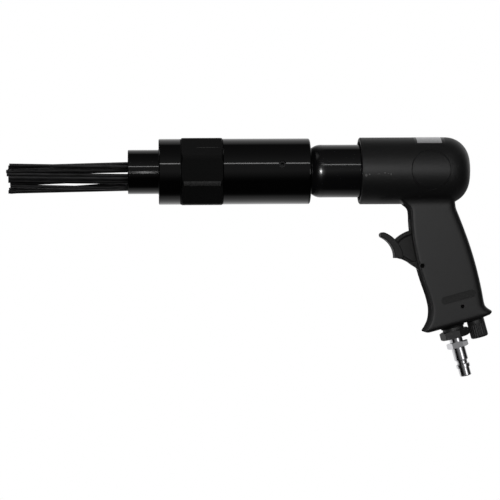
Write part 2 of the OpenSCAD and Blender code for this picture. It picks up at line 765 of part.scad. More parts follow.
module spring_washer() {
    washer_x = valve_cap_x + valve_cap_len;
    rim_r = valve_d / 2;
    bore_r = chamber_d / 2 + washer_len;
    color(steel) turned([[rim_r, washer_x], [rim_r, washer_x + washer_len / 2], [bore_r, main_bore_end_x],
        [bore_r - washer_len, main_bore_end_x], [bore_r - washer_len, washer_x + washer_len / 2]]);
}

// Pistol housing
function spline(a, b, c, d, u) =
    (2 * b + (c - a) * u + (2 * a - 5 * b + 4 * c - d) * u * u + (3 * b - a - 3 * c + d) * u * u * u) / 2;
function row_at(rows, i) = rows[max(0, min(len(rows) - 1, i))];
function between(rows, i, u) =
    spline(row_at(rows, i - 1), row_at(rows, i), row_at(rows, i + 1), row_at(rows, i + 2), u);
function corner(x, y, r, start, steps) =
    [for (k = [0:steps]) [x, y] + r * turned_to(start + 90 * k / steps)];
function section(depth, half_w) = concat(
    corner(grip_front_r, grip_front_r - half_w, grip_front_r, 180, front_steps),
    corner(depth - grip_back_r, grip_back_r - half_w, grip_back_r, 270, back_steps),
    corner(depth - grip_back_r, half_w - grip_back_r, grip_back_r, 0, back_steps),
    corner(grip_front_r, half_w - grip_front_r, grip_front_r, 90, front_steps));
function ring(front, back, half_w) =
    let (run = back - front, depth = norm(run), along = run / depth)
    [for (pt = section(depth, half_w)) [front.x + along.x * pt.x, pt.y, -front.y - along.y * pt.x]];
function grip_ring(row) =
    ring([row[0] * grip_depth, row[1] * grip_len], [row[2] * grip_depth, row[3] * grip_len],
         row[4] * grip_w / 2);
function foot_ring(row, k, q) =
    let (inset = foot_inset_shares[k] * grip_front_r, heel_inset = heel_inset_shares[k] * grip_front_r)
    ring([row[0] * grip_depth + inset, q], [row[2] * grip_depth - heel_inset, q],
         row[4] * grip_w / 2 - inset);

module grip_body() {
    rows = [for (i = [0:len(grip_shares) - 2], s = [0:grip_steps - 1])
        between(grip_shares, i, s / grip_steps)];
    foot = grip_shares[len(grip_shares) - 1];
    foot_q = max(foot[1], foot[3]) * grip_len;
    foot_drop = grip_len - foot_q;
    rings = concat([for (row = rows) grip_ring(row)], [grip_ring(foot),
        foot_ring(foot, 0, foot_q + foot_drop * foot_drop_share), foot_ring(foot, 1, grip_len)]);
    n = len(rings[0]);
    last = (len(rings) - 1) * n;
    sheath = [for (i = [0:len(rings) - 2], k = [0:n - 1])
        let (a = i * n + k, b = i * n + (k + 1) % n)
        each [[a, b, b + n], [a, b + n, a + n]]];
    in_grip() polyhedron([for (r = rings) each r], concat(sheath,
        [[for (k = [0:n - 1]) n - 1 - k]], [[for (k = [0:n - 1]) last + k]]));
}

module body_shell() {
    r = body_d / 2;
    end_x = body_x + body_len;
    dome_x = end_x - dome_r;
    rotate([0, 90, 0]) rotate_extrude() {
        polygon([[0, body_x], [r - rim_chamfer, body_x], [r, body_x + rim_chamfer], [r, dome_x],
                 [0, dome_x]]);
        translate([0, dome_x]) square([r - dome_r, dome_r]);
        translate([r - dome_r, dome_x]) intersection() {
            circle(r = dome_r);
            square(dome_r);
        }
    }
}

// Slot in the grip's front for the trigger's web
module trigger_slot() {
    top_z = pin_z + trigger_r * slot_top_share;
    foot_z = pin_z - trigger_r * slot_foot_share;
    translate([pin_x - trigger_r, -slot_w / 2, foot_z])
        cube([slot_end_x - pin_x + trigger_r, slot_w, top_z - foot_z]);
}

module pistol_housing() {
    recess_r = recess_h / 2;
    color(satin_black) difference() {
        union() {
            body_shell();
            grip_body();
        }
        bar_x(body_x - cut, body_x + exhaust_space_len, exhaust_space_d);
        bar_x(body_x, main_bore_end_x, barrel_thread_d + 2 * fixed_gap);
        bar_x(body_x, main_bore_end_x + chamber_len, chamber_d);
        trigger_slot();
        translate([pin_x, 0, pin_z]) bar_y(grip_w + 2 * cut, trigger_pin_d + 2 * fixed_gap);
        translate([0, 0, throttle_z]) bar_x(slot_end_x - cut, throttle_bore_end_x, throttle_bore_d);
        translate([port_x, 0, throttle_z]) cylinder(h = trigger_pin_drop - throttle_up, d = passage_d);
        in_grip() {
            bar_q(grip_len - inlet_thread_len, grip_len + cut, inlet_thread_d + 2 * fixed_gap);
            bar_q(inlet_top_q, grip_len, inlet_bore_d);
            bar_q(regulator_top_q - seat_gap, grip_len + cut, regulator_d + 2 * running_gap, regulator_back);
            bar_q(throttle_q, grip_len, passage_d, regulator_back);
            translate([0, 0, -cross_q]) rotate([0, 90, 0]) cylinder(h = regulator_back, d = passage_d);
            translate([regulator_back - regulator_pin_r, 0, regulator_pin_up - grip_len])
                bar_y(grip_w + 2 * cut, regulator_pin_d + 2 * fixed_gap);
            translate([recess_back, recess_depth - grip_w / 2, recess_up - grip_len]) rotate([90, 0, 0])
                linear_extrude(recess_depth + cut) {
                    square([recess_len - recess_h, recess_h], center = true);
                    for (side = [-1, 1]) translate([side * (recess_len - recess_h) / 2, 0]) circle(recess_r);
                }
        }
    }
}

// Trigger
module wedge(centre, r, start, end) {
    polygon([centre, centre + r * turned_to(start), centre + r * turned_to((start + end) / 2),
             centre + r * turned_to(end)]);
}

module finger_pad_outline() {
    centre = trigger_r * finger_centre_shares;
    tip_r = finger_pad * finger_tip_share;
    reach = finger_r + finger_pad;
    intersection() {
        wedge(centre, 2 * reach, finger_start_angle, finger_end_angle);
        difference() {
            translate(centre + trigger_r * finger_back_shift_shares) circle(reach);
            translate(centre) circle(finger_r);
        }
    }
    translate(centre + (finger_r + tip_r) * turned_to(finger_end_angle)) circle(tip_r);
}

module web_outline() {
    centre = trigger_r * finger_centre_shares;
    difference() {
        union() {
            intersection() {
                circle(trigger_r);
                polygon(concat([[0, 0]], trigger_r * rim_shares,
                    [2 * trigger_r * turned_to(web_front_angle), web_back_top, hub_back]));
            }
            circle(hub_r);
        }
        translate(centre) circle(finger_r + finger_pad / 2);
    }
}

// Pocket in each side of the web, inside its rims
module pocket_outline() {
    back_rim = [-trigger_rim, 0];
    intersection() {
        circle(trigger_r - trigger_top_rim);
        polygon(concat([for (i = [1:len(rim_shares) - 1]) trigger_r * rim_shares[i] + [0, trigger_rim]],
            [2 * trigger_r * turned_to(web_front_angle), web_back_top + back_rim, hub_back + back_rim]));
    }
}

module trigger() {
    pocket_depth = (trigger_web_w - trigger_core_w) / 2;
    color(matte_black) translate([pin_x, 0, pin_z]) rotate([90, 0, 0]) difference() {
        union() {
            linear_extrude(finger_pad_w, center = true) finger_pad_outline();
            difference() {
                linear_extrude(trigger_web_w, center = true) web_outline();
                for (low = [trigger_core_w / 2, -trigger_web_w / 2 - cut])
                    translate([0, 0, low]) linear_extrude(pocket_depth + cut) pocket_outline();
            }
        }
        cylinder(h = finger_pad_w + 2 * cut, d = trigger_pin_d + 2 * running_gap, center = true);
    }
}

module trigger_pin() {
    color(steel) translate([pin_x, 0, pin_z]) bar_y(grip_w - 2 * cut, trigger_pin_d);
}

// Throttle
module throttle_bushing() {
    end_x = throttle_x + throttle_bushing_len;
    guide_end_x = throttle_x + throttle_bushing_len / 3;
    color(bronze) translate([0, 0, throttle_z]) difference() {
        bar_x(throttle_x, end_x, throttle_bore_d - 2 * fixed_gap);
        bar_x(throttle_x - cut, end_x, stem_d + 2 * running_gap);
        bar_x(guide_end_x, end_x + cut, throttle_seat_d);
        translate([port_x, 0, 0]) cylinder(h = throttle_bore_d, d = stem_d);
    }
}

// Place of the stem's front end: its lower edge is just clear of the trigger's sloping back
stem_low = throttle_up - stem_d / 2;
back_slope = (web_back_top.x - hub_back.x) / (web_back_top.y - hub_back.y);
trigger_back_place = hub_back.x + back_slope * (stem_low - hub_back.y);
stem_x = pin_x + trigger_back_place + seat_gap;
module throttle_stem() {
    head_x = stem_seal_x + stem_seal_len;
    tail_x = head_x + stem_head_len;
    r = stem_d / 2;
    head_r = stem_head_d / 2;
    end_x = tail_x + stem_tail_len;
    color(steel) translate([0, 0, throttle_z]) turned([[0, stem_x], [r, stem_x], [r, head_x],
        [head_r, head_x], [head_r, tail_x], [r, tail_x], [r, end_x], [0, end_x]]);
}

module throttle_seal() {
    color(rubber) translate([0, 0, throttle_z]) difference() {
        bar_x(stem_seal_x, stem_seal_x + stem_seal_len, stem_head_d);
        bar_x(stem_seal_x - cut, stem_seal_x + stem_seal_len + cut, stem_d);
    }
}

module throttle_spring() {
    color(steel) translate([throttle_bore_end_x - throttle_spring_len, 0, throttle_z]) rotate([0, 90, 0])
        coil(throttle_spring_len, throttle_spring_d, throttle_wire_d, throttle_curls);
}

// Regulator
regulator_groove_r = regulator_d / 2 - 3 * seat_gap;
regulator_pin_r = regulator_groove_r + seat_gap + regulator_pin_d / 2;
seal_q = cross_q + passage_d;
module regulator() {
    r = regulator_d / 2;
    pin_q = grip_len - regulator_pin_up;
    groove = regulator_pin_d / 2 + seat_gap;
    knob_r = knob_d / 2;
    knob_end = grip_len + knob_len;
    seal_r = r - seal_d / 2;
    bevel = knurl_depth * 2;
    color(matte_black) in_grip() translate([regulator_back, 0, 0]) difference() {
        turned_q([[0, regulator_top_q], [r, regulator_top_q], [r, seal_q], [seal_r, seal_q],
            [seal_r, seal_q + seal_d], [r, seal_q + seal_d], [r, pin_q - groove],
            [regulator_groove_r, pin_q - groove], [regulator_groove_r, pin_q + groove], [r, pin_q + groove],
            [r, grip_len - bevel], [knob_r, grip_len], [knob_r, knob_end - bevel],
            [knob_r - bevel, knob_end], [0, knob_end]]);
        for (i = [0:knurl_count - 1]) rotate([0, 0, 360 * i / knurl_count]) translate([knob_r, 0, 0])
            bar_q(grip_len + knob_collar, knob_end + cut, 2 * knurl_depth);
        bar_q(regulator_top_q - cut, cross_q, passage_d);
        translate([-regulator_d / 2, 0, -cross_q]) rotate([0, 90, 0])
            cylinder(h = regulator_d / 2, d = passage_d * port_share);
    }
}

module regulator_seal() {
    color(rubber) in_grip() translate([regulator_back, 0, 0]) turned_q([
        [(regulator_d - seal_d) / 2, seal_q], [regulator_d / 2, seal_q],
        [regulator_d / 2, seal_q + seal_d], [(regulator_d - seal_d) / 2, seal_q + seal_d]]);
}

module regulator_pin() {
    color(steel) in_grip() translate([regulator_back - regulator_pin_r, 0, regulator_pin_up - grip_len])
        bar_y(grip_w - 2 * cut, regulator_pin_d);
}

// Air inlet
washer_end_q = grip_len + inlet_washer_len;
inlet_hex_q = washer_end_q + inlet_neck_len;
inlet_end_q = inlet_hex_q + inlet_hex_len;
inlet_top_of_bushing_q = grip_len - inlet_thread_len + strainer_len / 2;
plug_top_q = inlet_end_q - plug_thread_len;
module inlet_bushing() {
    color(matte_black) in_grip() difference() {
        union() {
            turned_q([[0, inlet_top_of_bushing_q], [inlet_thread_d / 2, inlet_top_of_bushing_q],
                [inlet_thread_d / 2, washer_end_q], [inlet_neck_d / 2, washer_end_q],
                [inlet_neck_d / 2, inlet_end_q], [0, inlet_end_q]]);
            hexagon_q(inlet_hex_q, inlet_end_q, inlet_hex_w, inlet_hex_turn, 1 / 2);
        }
        bar_q(inlet_top_of_bushing_q - cut, inlet_end_q, inlet_bushing_bore_d);
        bar_q(plug_top_q, inlet_end_q + cut, plug_thread_d + 2 * fixed_gap);
    }
}

module inlet_washer() {
    color(rubber) in_grip() difference() {
        bar_q(grip_len, washer_end_q, inlet_washer_d);
        bar_q(grip_len - cut, washer_end_q + cut, inlet_thread_d + 2 * fixed_gap);
    }
}

module inlet_strainer() {
    foot_q = inlet_top_of_bushing_q;
    flange_q = foot_q - 2 * strainer_wall;
    color(steel) in_grip() difference() {
        union() {
            bar_q(foot_q - strainer_len, foot_q, strainer_d);
            bar_q(flange_q, foot_q, inlet_thread_d - 2 * fixed_gap);
        }
        bar_q(foot_q - strainer_len + strainer_wall, foot_q + cut, strainer_d - 2 * strainer_wall);
    }
}

// Air plug
plug_hex_q = inlet_end_q + plug_neck_len;
plug_body_q = plug_hex_q + plug_hex_len;
plug_body_end_q = plug_body_q + plug_body_len;
plug_ring_q = plug_body_end_q + plug_groove_len;
plug_ring_end_q = plug_ring_q + plug_ring_len;
plug_end_q = plug_ring_end_q + plug_tip_len;
module air_plug() {
    r = plug_d / 2;
    groove_r = plug_groove_d / 2;
    tip_r = plug_tip_d / 2;
    bevel = (r - groove_r) / 2;
    color(chrome) in_grip() difference() {
        union() {
            turned_q([[0, plug_top_q], [plug_thread_d / 2, plug_top_q], [plug_thread_d / 2, inlet_end_q],
                [plug_neck_d / 2, inlet_end_q], [plug_neck_d / 2, plug_hex_q], [groove_r, plug_hex_q],
                [groove_r, plug_body_q], [r, plug_body_q], [r, plug_body_end_q - bevel],
                [groove_r, plug_body_end_q + bevel], [groove_r, plug_ring_q - bevel], [r, plug_ring_q],
                [r, plug_ring_end_q - bevel / 2], [tip_r, plug_ring_end_q], [tip_r, plug_end_q - bevel],
                [tip_r - bevel, plug_end_q], [0, plug_end_q]]);
            hexagon_q(plug_hex_q, plug_body_q, plug_hex_w, plug_hex_turn, 1 / 2);
        }
        bar_q(plug_top_q - cut, plug_end_q + cut, plug_bore_d);
    }
}

for (i = [0:needle_count - 1]) needle(i);
needle_holder();
return_spring();
nose_tube();
front_sleeve();
rear_tube();
lock_screw();
anvil();
anvil_buffer();
anvil_bushing();
hammer_cylinder();
piston();
valve_plate();
valve_disc();
valve_cap();
valve_dowel();
spring_washer();
pistol_housing();
trigger();
trigger_pin();
throttle_bushing();
throttle_stem();
throttle_seal();
throttle_spring();
regulator();
regulator_seal();
regulator_pin();
inlet_bushing();
inlet_washer();
inlet_strainer();
air_plug();
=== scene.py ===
"""Looks of the needle scaler: finishes, smooth shells over CAD nodes, springs, small details, light and camera.

Everything is in metres in the CAD model's frame: X along the barrel to the rear, Z up, and the origin on the
barrel axis at the nose tube's front edge. The sizes repeat the source's, in millimetres, through MM.
"""
import math

import bmesh
import bpy
import numpy as np
from mathutils import Matrix, Vector


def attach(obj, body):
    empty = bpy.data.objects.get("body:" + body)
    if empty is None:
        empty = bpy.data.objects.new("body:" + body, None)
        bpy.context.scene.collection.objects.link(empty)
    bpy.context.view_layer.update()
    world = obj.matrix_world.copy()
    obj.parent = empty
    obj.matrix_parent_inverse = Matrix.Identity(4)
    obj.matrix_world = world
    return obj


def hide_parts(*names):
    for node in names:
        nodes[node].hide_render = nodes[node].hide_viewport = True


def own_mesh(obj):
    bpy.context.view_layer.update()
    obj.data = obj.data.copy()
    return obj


MM = 0.001
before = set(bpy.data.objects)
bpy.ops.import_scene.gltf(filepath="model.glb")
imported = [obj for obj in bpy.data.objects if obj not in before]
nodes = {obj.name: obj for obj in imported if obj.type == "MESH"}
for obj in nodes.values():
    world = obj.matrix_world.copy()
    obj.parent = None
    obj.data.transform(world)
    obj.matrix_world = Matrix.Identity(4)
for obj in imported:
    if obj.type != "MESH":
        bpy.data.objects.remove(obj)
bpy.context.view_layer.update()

# Sizes of the housing's body in the part's source, in millimetres
BODY_X, BODY_R, BODY_LEN, DOME_R = 196.9, 28.5, 94.2, 20.6
RIM_CHAMFER = 0.8
EXHAUST_R, EXHAUST_LEN = 25.2, 9.0
MAIN_BORE_R, MAIN_BORE_LEN = 21.05, 59.2
CHAMBER_R, CHAMBER_LEN = 12.0, 14.0

# Sizes of the grip: its axis leans back, p runs across it to the rear and q down along it
GRIP_X, GRIP_TILT = 240.6, math.radians(15)
GRIP_LEN, GRIP_DEPTH, GRIP_W = 137.2, 50.0, 28.0
GRIP_FRONT_R, GRIP_BACK_R = 2.0, 7.0
PIN_X, PIN_Z, PIN_R = 249.1, -81.2, 1.75
SLOT_W, SLOT_FRONT_X, SLOT_END_X, SLOT_TOP_Z, SLOT_FOOT_Z = 10.0, 217.6, 254.5, -40.88, -89.7
THROTTLE_Z, THROTTLE_R, THROTTLE_END_X = -66.0, 6.5, 284.6
PASSAGE_R, PASSAGE_X = 3.5, 262.72
REGULATOR_P, REGULATOR_R, REGULATOR_TOP_Q = 20.3, 8.46, 101.9
REGULATOR_PIN_P, REGULATOR_PIN_Q, REGULATOR_PIN_R = 11.1, 123.0, 1.4
INLET_R, INLET_TOP_Q = 8.35, 115.2
INLET_PASSAGE_R, INLET_PASSAGE_Q = 6.0, 91.2
RECESS_LEN, RECESS_H, RECESS_DEPTH, RECESS_P, RECESS_Q = 30.2, 6.6, 0.7, 9.8, 114.4

# Rows of the grip's outline: front edge across and along, back edge across and along, half width, as shares
GRIP_ROWS = np.array([
    [-0.320, 0.119, 0.580, 0.208, 1.23], [-0.315, 0.157, 0.585, 0.246, 1.07],
    [-0.262, 0.192, 0.583, 0.272, 1.00], [-0.203, 0.225, 0.574, 0.298, 1.00],
    [-0.211, 0.265, 0.586, 0.340, 1.00], [-0.247, 0.322, 0.606, 0.406, 1.00],
    [-0.296, 0.438, 0.634, 0.526, 1.00], [-0.314, 0.572, 0.645, 0.644, 1.00],
    [-0.308, 0.686, 0.641, 0.753, 1.00], [-0.290, 0.778, 0.628, 0.839, 1.00],
    [-0.300, 0.860, 0.613, 0.901, 1.00], [-0.359, 0.922, 0.615, 0.932, 1.00],
    [-0.447, 0.963, 0.653, 0.954, 1.00], [-0.514, 0.983, 0.714, 0.977, 1.00]])
# Rows of its rounded foot: inset in front and at the sides, inset behind, in front radii, and share of the drop
FOOT_ROWS = ((0.45, 1.2, 0.6), (1.5, 5.1, 1.0))

# Sizes of the barrel's pieces
NOSE_R, NOSE_BORE_R, NOSE_STEP_R, NOSE_FLANGE_R = 18.8, 16.6, 19.3, 22.2
NOSE_STEP_X, NOSE_FLANGE_X, NOSE_END_X = 25.7, 30.0, 35.0
SLEEVE_X, SLEEVE_R, SLEEVE_NECK_R, SLEEVE_BORE_R = 26.0, 28.0, 19.35, 22.5
FLATS_X, FLATS_R, FLATS_CUT, FLATS_COUNT = 44.8, 28.2, 2.2, 8
SPIGOT_R, SPIGOT_END_X = 25.0, 94.4
TUBE_X, TUBE_END_X, TUBE_SHOULDER_X = 80.4, 154.5, 94.7
TUBE_SEAT_R, TUBE_BORE_R = 25.05, 19.55
SCREW_X, SCREW_R, SCREW_ANGLE = 129.8, 3.05, math.radians(10.5)
BARREL_X, BARREL_END_X, THREAD_X, BUSHING_END_X = 100.0, 231.7, 205.9, 128.0
BARREL_R, NECK_R, BARREL_BORE_R, BUSHING_R = 22.5, 19.5, 11.0, 12.05
SHOULDER_END_X, SHOULDER_R, SHOULDER_TURN, SHOULDER_STEPS = 164.1, 13.0, 50.3, 16
THREAD_PLAY = 0.05
PORT_COUNT, PORT_R = 6, 2.0

# Springs: both ends, mean and wire radius, curls and height of the axis, and the travel that shortens them
HOLDER_X = 63.7
RETURN_SPRING = (NOSE_END_X, HOLDER_X, 19.4, 1.75, 4, 0.0)
NEEDLE_STROKE = 8.0
THROTTLE_SPRING_LEN = 13.0
THROTTLE_SPRING = (THROTTLE_END_X - THROTTLE_SPRING_LEN, THROTTLE_END_X, 4.0, 0.5, 5, THROTTLE_Z)
THROTTLE_STROKE = 3.18

# Sides of round pieces and cutters, and the angle from which an edge is shaded sharp
TUBE_SIDES, BODY_SIDES, WIDE_SIDES, BORE_SIDES, SCREW_SIDES, SMALL_SIDES = 240, 160, 128, 64, 48, 32
SHARP_ANGLE = math.radians(35)

# Rounded edges of the turned pieces
NOSE_EDGE, SLEEVE_EDGE, TUBE_EDGE, TUBE_ROUND, FLATS_ROUND = 0.6, 1.0, 0.4, 1.6, 4.0
# The collar's chamfer and the end of its finish, and the curve by which the ends of the flats rise from it
COLLAR_LEN, COLLAR_DROP, COLLAR_SUPPORT, COLLAR_FINISH = 0.6, 0.3, 0.25, 0.65
FLATS_GAP, FLATS_RISE, FLATS_CURVE, FLATS_ROWS = 0.15, 3.4, 0.7, 7
# Extra circles at the lock screw's hole, and the radii between which the holes for screw and exhaust are cut
HOLE_SPAN, HOLE_ROWS = 5.0, 6
SCREW_CUT, PORT_CUT = (15, 32), (0, 30)

# The housing's form: rows along it, the spare length in front, and the grid and rounds that blend body and grip
BODY_ROWS, DOME_ROWS, GRIP_STEPS, CORNER_STEPS = 12, 20, 8, 8
BODY_SPARE = 6.0
BLEND_GRID, BLEND_ROUNDS, SMOOTH_SHARE = 0.8, 10, 0.5
# How far cutters go past what they cut, the pins' play, and the bevel of the pins' holes
CUT_PAST, FOOT_PAST, RIM_PAST, SLOT_PAST, BEVEL_PAST = 20.0, 2.0, 2.0, 1.0, 0.5
PIN_PLAY, PIN_BEVEL = 0.05, 0.35
# Faces with painted shade and light of their own: the recess's floor, and the grip's front by the way it faces
# and its top
RECESS_NEAR, RECESS_FLAT = 0.05, 0.99
GRIP_FRONT_TURN, GRIP_FRONT_TOP_Z = -0.5, -23.0

# Engraved circle on the body's side, and the sticker and its film as x, degrees to each side, and rise
CIRCLE_X, CIRCLE_Z = 255.4, -0.2
CIRCLE_R, CIRCLE_LINE, CIRCLE_DEPTH = 16.5, 0.65, 0.35
LABEL_X, LABEL_ANGLE, LABEL_RISE = (245.0, 266.0), 37, 0.12
FILM_X, FILM_ANGLE, FILM_RISE = (243.0, 269.0), 43, 0.06
PATCH_ROWS, PATCH_SINK = 25, 0.3

# Small worn marks on the body's side as x, degrees from the top, length, degrees across
MARKS = [(200.3, 99.4, 2.0, 5.0), (203.2, 97.9, 1.3, 2.4), (216.1, 95.6, 1.6, 1.8),
         (219.0, 96.6, 1.6, 0.8), (221.3, 98.0, 0.9, 3.6), (211.0, 97.0, 2.4, 0.6)]
MARK_NAMES = [f"worn_mark_{k + 1}" for k in range(len(MARKS))]
# Outline of a mark, as places across it and its length there
MARK_OUTLINE = ((-0.5, 0.3), (-0.2, 0.9), (0.2, 1.0), (0.5, 0.4))
MARK_SLANT, MARK_SINK, MARK_RISE = 0.2, 0.2, 0.03
# Worn line on the flats, as both ends of its two edges, and the flats' worn edge in degrees about the axis
WORN_LINE = [(FLATS_X + 14, FLATS_X + 31, 45.4, 45.2), (FLATS_X + 13, FLATS_X + 33, 46.4, 46.1)]
LINE_SINK, LINE_RISE = 0.3, 0.05
WORN_TURN = (-25.0, -17.5)

# Camera: the photograph's view by a long lens, turned a little to the rear and rolled slightly
CAMERA_PLACE = (25.80, -1750.0, -66.87)
CAMERA_YAW, CAMERA_ROLL = math.radians(2.537), math.radians(0.371)
SENSOR_WIDTH, LENS, CLIP_START = 36, 148.05, 0.01

WHITE = (1, 1, 1, 1)
FLOOR_Z, FLOOR_HALF = -0.30, 3.0

# Light round the barrel's axis as degrees and level: 0 is the camera's side, 90 up, 180 behind and -90 down
STUDIO = [(-180, 1.1), (-143, 1.0), (-121, 0.6), (-107, 0.36), (-99, 0.26), (-93, 0.08), (-85, 0.02),
          (-73, 0.012), (-35, 0.012), (-25, 0.045), (-13, 0.12), (-1, 0.2), (33, 0.2), (47, 0.14), (60, 0.1),
          (75, 0.075), (100, 0.045), (106, 0.045), (110, 0.2), (117, 0.37), (180, 1.1)]
STUDIO_TOP = 1.1
# The front of the studio is dark past this share of the way to the tool's ends, and its back is not
SIDE_FROM, SIDE_TO, SIDE_LEVEL = 0.72, 0.88, 0.08
BACK_FROM, BACK_TO = 0.25, 0.45
# The back is dimmer at the right end
BACK_RIGHT_FROM, BACK_RIGHT_TO, BACK_RIGHT_LEVEL = 0.6, 0.8, 0.42
# The studio is dimmer on the left
LEFT_FROM, LEFT_TO, LEFT_LEVEL = -0.3, -0.03, 0.3
# It is dimmer below too, on the right
RIGHT_FROM, RIGHT_TO, BELOW_FROM, BELOW_TO, BELOW_LEVEL = 0.05, 0.14, 0.02, -0.1, 0.2

# Lights as name, place, target, width, height, watts, and the pieces that a light is kept to
LIGHTS = [
    ("strip", (0.19, -1.07, 0.524), (0.19, 0, 0), 0.5, 0.055, 0.43, []),
    ("soft_box", (0.74, -1.08, -0.07), (0.26, 0, -0.06), 0.5, 0.36, 0.85, []),
    ("top_light", (-0.5, -0.25, 1.1), (0.1, 0, 0), 0.6, 0.4, 1.5, []),
    ("slit", (0.007, -1.25, -0.09), (0.01, 0, 0), 0.014, 0.24, 0.075, ["nose_shell"]),
    ("glint", (-0.029, -1.25, -0.074), (0.16, 0, 0), 0.05, 0.05, 13.0, ["cylinder_shell"]),
    ("fill", (0.03, -1.25, 0.08), (0.24, 0, -0.02), 0.2, 0.2, 4.3,
     ["housing_shell", "inlet_bushing", "trigger", "regulator"] + MARK_NAMES),
    ("rim_light", (0.0, 0.15, -0.235), (0.28, 0, -0.17), 0.6, 0.11, 0.1, ["air_plug", "inlet_bushing"]),
    ("plug_light", (-0.15, -1.2, -0.2), (0.28, 0, -0.16), 1.1, 0.5, 0.14, ["air_plug"]),
]

# Grain of the finishes: detail of the noise, its levels for the dark and the light tint, and the bump's height
GRAIN_DETAIL, TINT_DARK, TINT_LIGHT, BUMP_SHARE = 4, 0.3, 0.7, 0.2
# The shoulder is duller than the barrel behind it: input, start and end from the shoulder's end, both values
SHOULDER_FADES = [("Specular IOR Level", -6, 2, 0.12, 0.5), ("Roughness", -2, 4, 0.26, 0.09)]
# Castings whose edges are rounded all over: grid in millimetres, and rounds
SOFTENED = {"trigger": (0.35, 8), "regulator": (0.3, 10)}


# Camera, stage and light
def make_camera():
    forward = Vector((math.sin(CAMERA_YAW), math.cos(CAMERA_YAW), 0))
    level = Vector((math.cos(CAMERA_YAW), -math.sin(CAMERA_YAW), 0))
    up = Vector((0, 0, 1))
    right = level * math.cos(CAMERA_ROLL) - up * math.sin(CAMERA_ROLL)
    top = up * math.cos(CAMERA_ROLL) + level * math.sin(CAMERA_ROLL)
    place = Vector(CAMERA_PLACE) * MM
    data = bpy.data.cameras.new("camera")
    data.sensor_width, data.lens, data.clip_start = SENSOR_WIDTH, LENS, CLIP_START
    camera = bpy.data.objects.new("camera", data)
    bpy.context.collection.objects.link(camera)
    camera.matrix_world = Matrix((
        (right.x, top.x, -forward.x, place.x),
        (right.y, top.y, -forward.y, place.y),
        (right.z, top.z, -forward.z, place.z),
        (0, 0, 0, 1)))
    bpy.context.scene.camera = camera


def add_math(tree, operation, a, b=None):
    """The value of a new math node, from sockets or numbers."""
    node = tree.nodes.new("ShaderNodeMath")
    node.operation = operation
    for socket, value in zip(node.inputs, (a, b)):
        if isinstance(value, bpy.types.NodeSocket):
            tree.links.new(value, socket)
        elif value is not None:
            socket.default_value = value
    return node.outputs["Value"]


def add_range(tree, value, low, high, to_low=0.0, to_high=1.0, smooth=True):
    """A value carried over from one range to another, and held at the ends."""
    node = tree.nodes.new("ShaderNodeMapRange")
    node.interpolation_type = "SMOOTHSTEP" if smooth else "LINEAR"
    for key, number in (("From Min", low), ("From Max", high), ("To Min", to_low), ("To Max", to_high)):
        node.inputs[key].default_value = number
    tree.links.new(value, node.inputs["Value"])
    return node.outputs["Result"]


def make_studio():
    """White where the camera looks past the tool, and the studio's light for everything else."""
    world = bpy.data.worlds.new("studio")
    world.use_nodes = True
    tree = world.node_tree
    tree.nodes.clear()
    out = tree.nodes.new("ShaderNodeOutputWorld")
    mix = tree.nodes.new("ShaderNodeMixShader")
    path = tree.nodes.new("ShaderNodeLightPath")
    white = tree.nodes.new("ShaderNodeBackground")
    white.inputs["Color"].default_value = WHITE
    light = tree.nodes.new("ShaderNodeBackground")
    light.inputs["Strength"].default_value = STUDIO_TOP
    coords = tree.nodes.new("ShaderNodeTexCoord")
    split = tree.nodes.new("ShaderNodeSeparateXYZ")
    tree.links.new(coords.outputs["Generated"], split.inputs["Vector"])
    x, y, z = split.outputs

    turn = add_math(tree, "ARCTAN2", z, add_math(tree, "MULTIPLY", y, -1))
    ramp = tree.nodes.new("ShaderNodeValToRGB")
    tree.links.new(add_range(tree, turn, -math.pi, math.pi, smooth=False), ramp.inputs["Fac"])
    stops = ramp.color_ramp.elements
    for k, (degrees, level) in enumerate(STUDIO):
        place = (degrees + 180) / 360
        # A new ramp has two stops
        stop = stops[k] if k < 2 else stops.new(place)
        stop.position = place
        stop.color = (*[level / STUDIO_TOP] * 3, 1)

    side = add_range(tree, add_math(tree, "ABSOLUTE", x), SIDE_FROM, SIDE_TO, 1, SIDE_LEVEL)
    back = add_math(tree, "MULTIPLY", add_range(tree, y, BACK_FROM, BACK_TO),
                    add_range(tree, x, BACK_RIGHT_FROM, BACK_RIGHT_TO, 1, BACK_RIGHT_LEVEL))
    mask = add_math(tree, "MAXIMUM", side, back)
    mask = add_math(tree, "MULTIPLY", mask, add_range(tree, x, LEFT_FROM, LEFT_TO, LEFT_LEVEL, 1))
    below = add_math(tree, "MULTIPLY", add_range(tree, x, RIGHT_FROM, RIGHT_TO, 0, 1),
                     add_range(tree, z, BELOW_TO, BELOW_FROM, 1, 0))
    mask = add_math(tree, "MULTIPLY", mask, add_range(tree, below, 0, 1, 1, BELOW_LEVEL, smooth=False))

    tree.links.new(add_math(tree, "MULTIPLY", ramp.outputs["Color"], mask), light.inputs["Color"])
    tree.links.new(path.outputs["Is Camera Ray"], mix.inputs["Fac"])
    tree.links.new(light.outputs["Background"], mix.inputs[1])
    tree.links.new(white.outputs["Background"], mix.inputs[2])
    tree.links.new(mix.outputs["Shader"], out.inputs["Surface"])
    bpy.context.scene.world = world


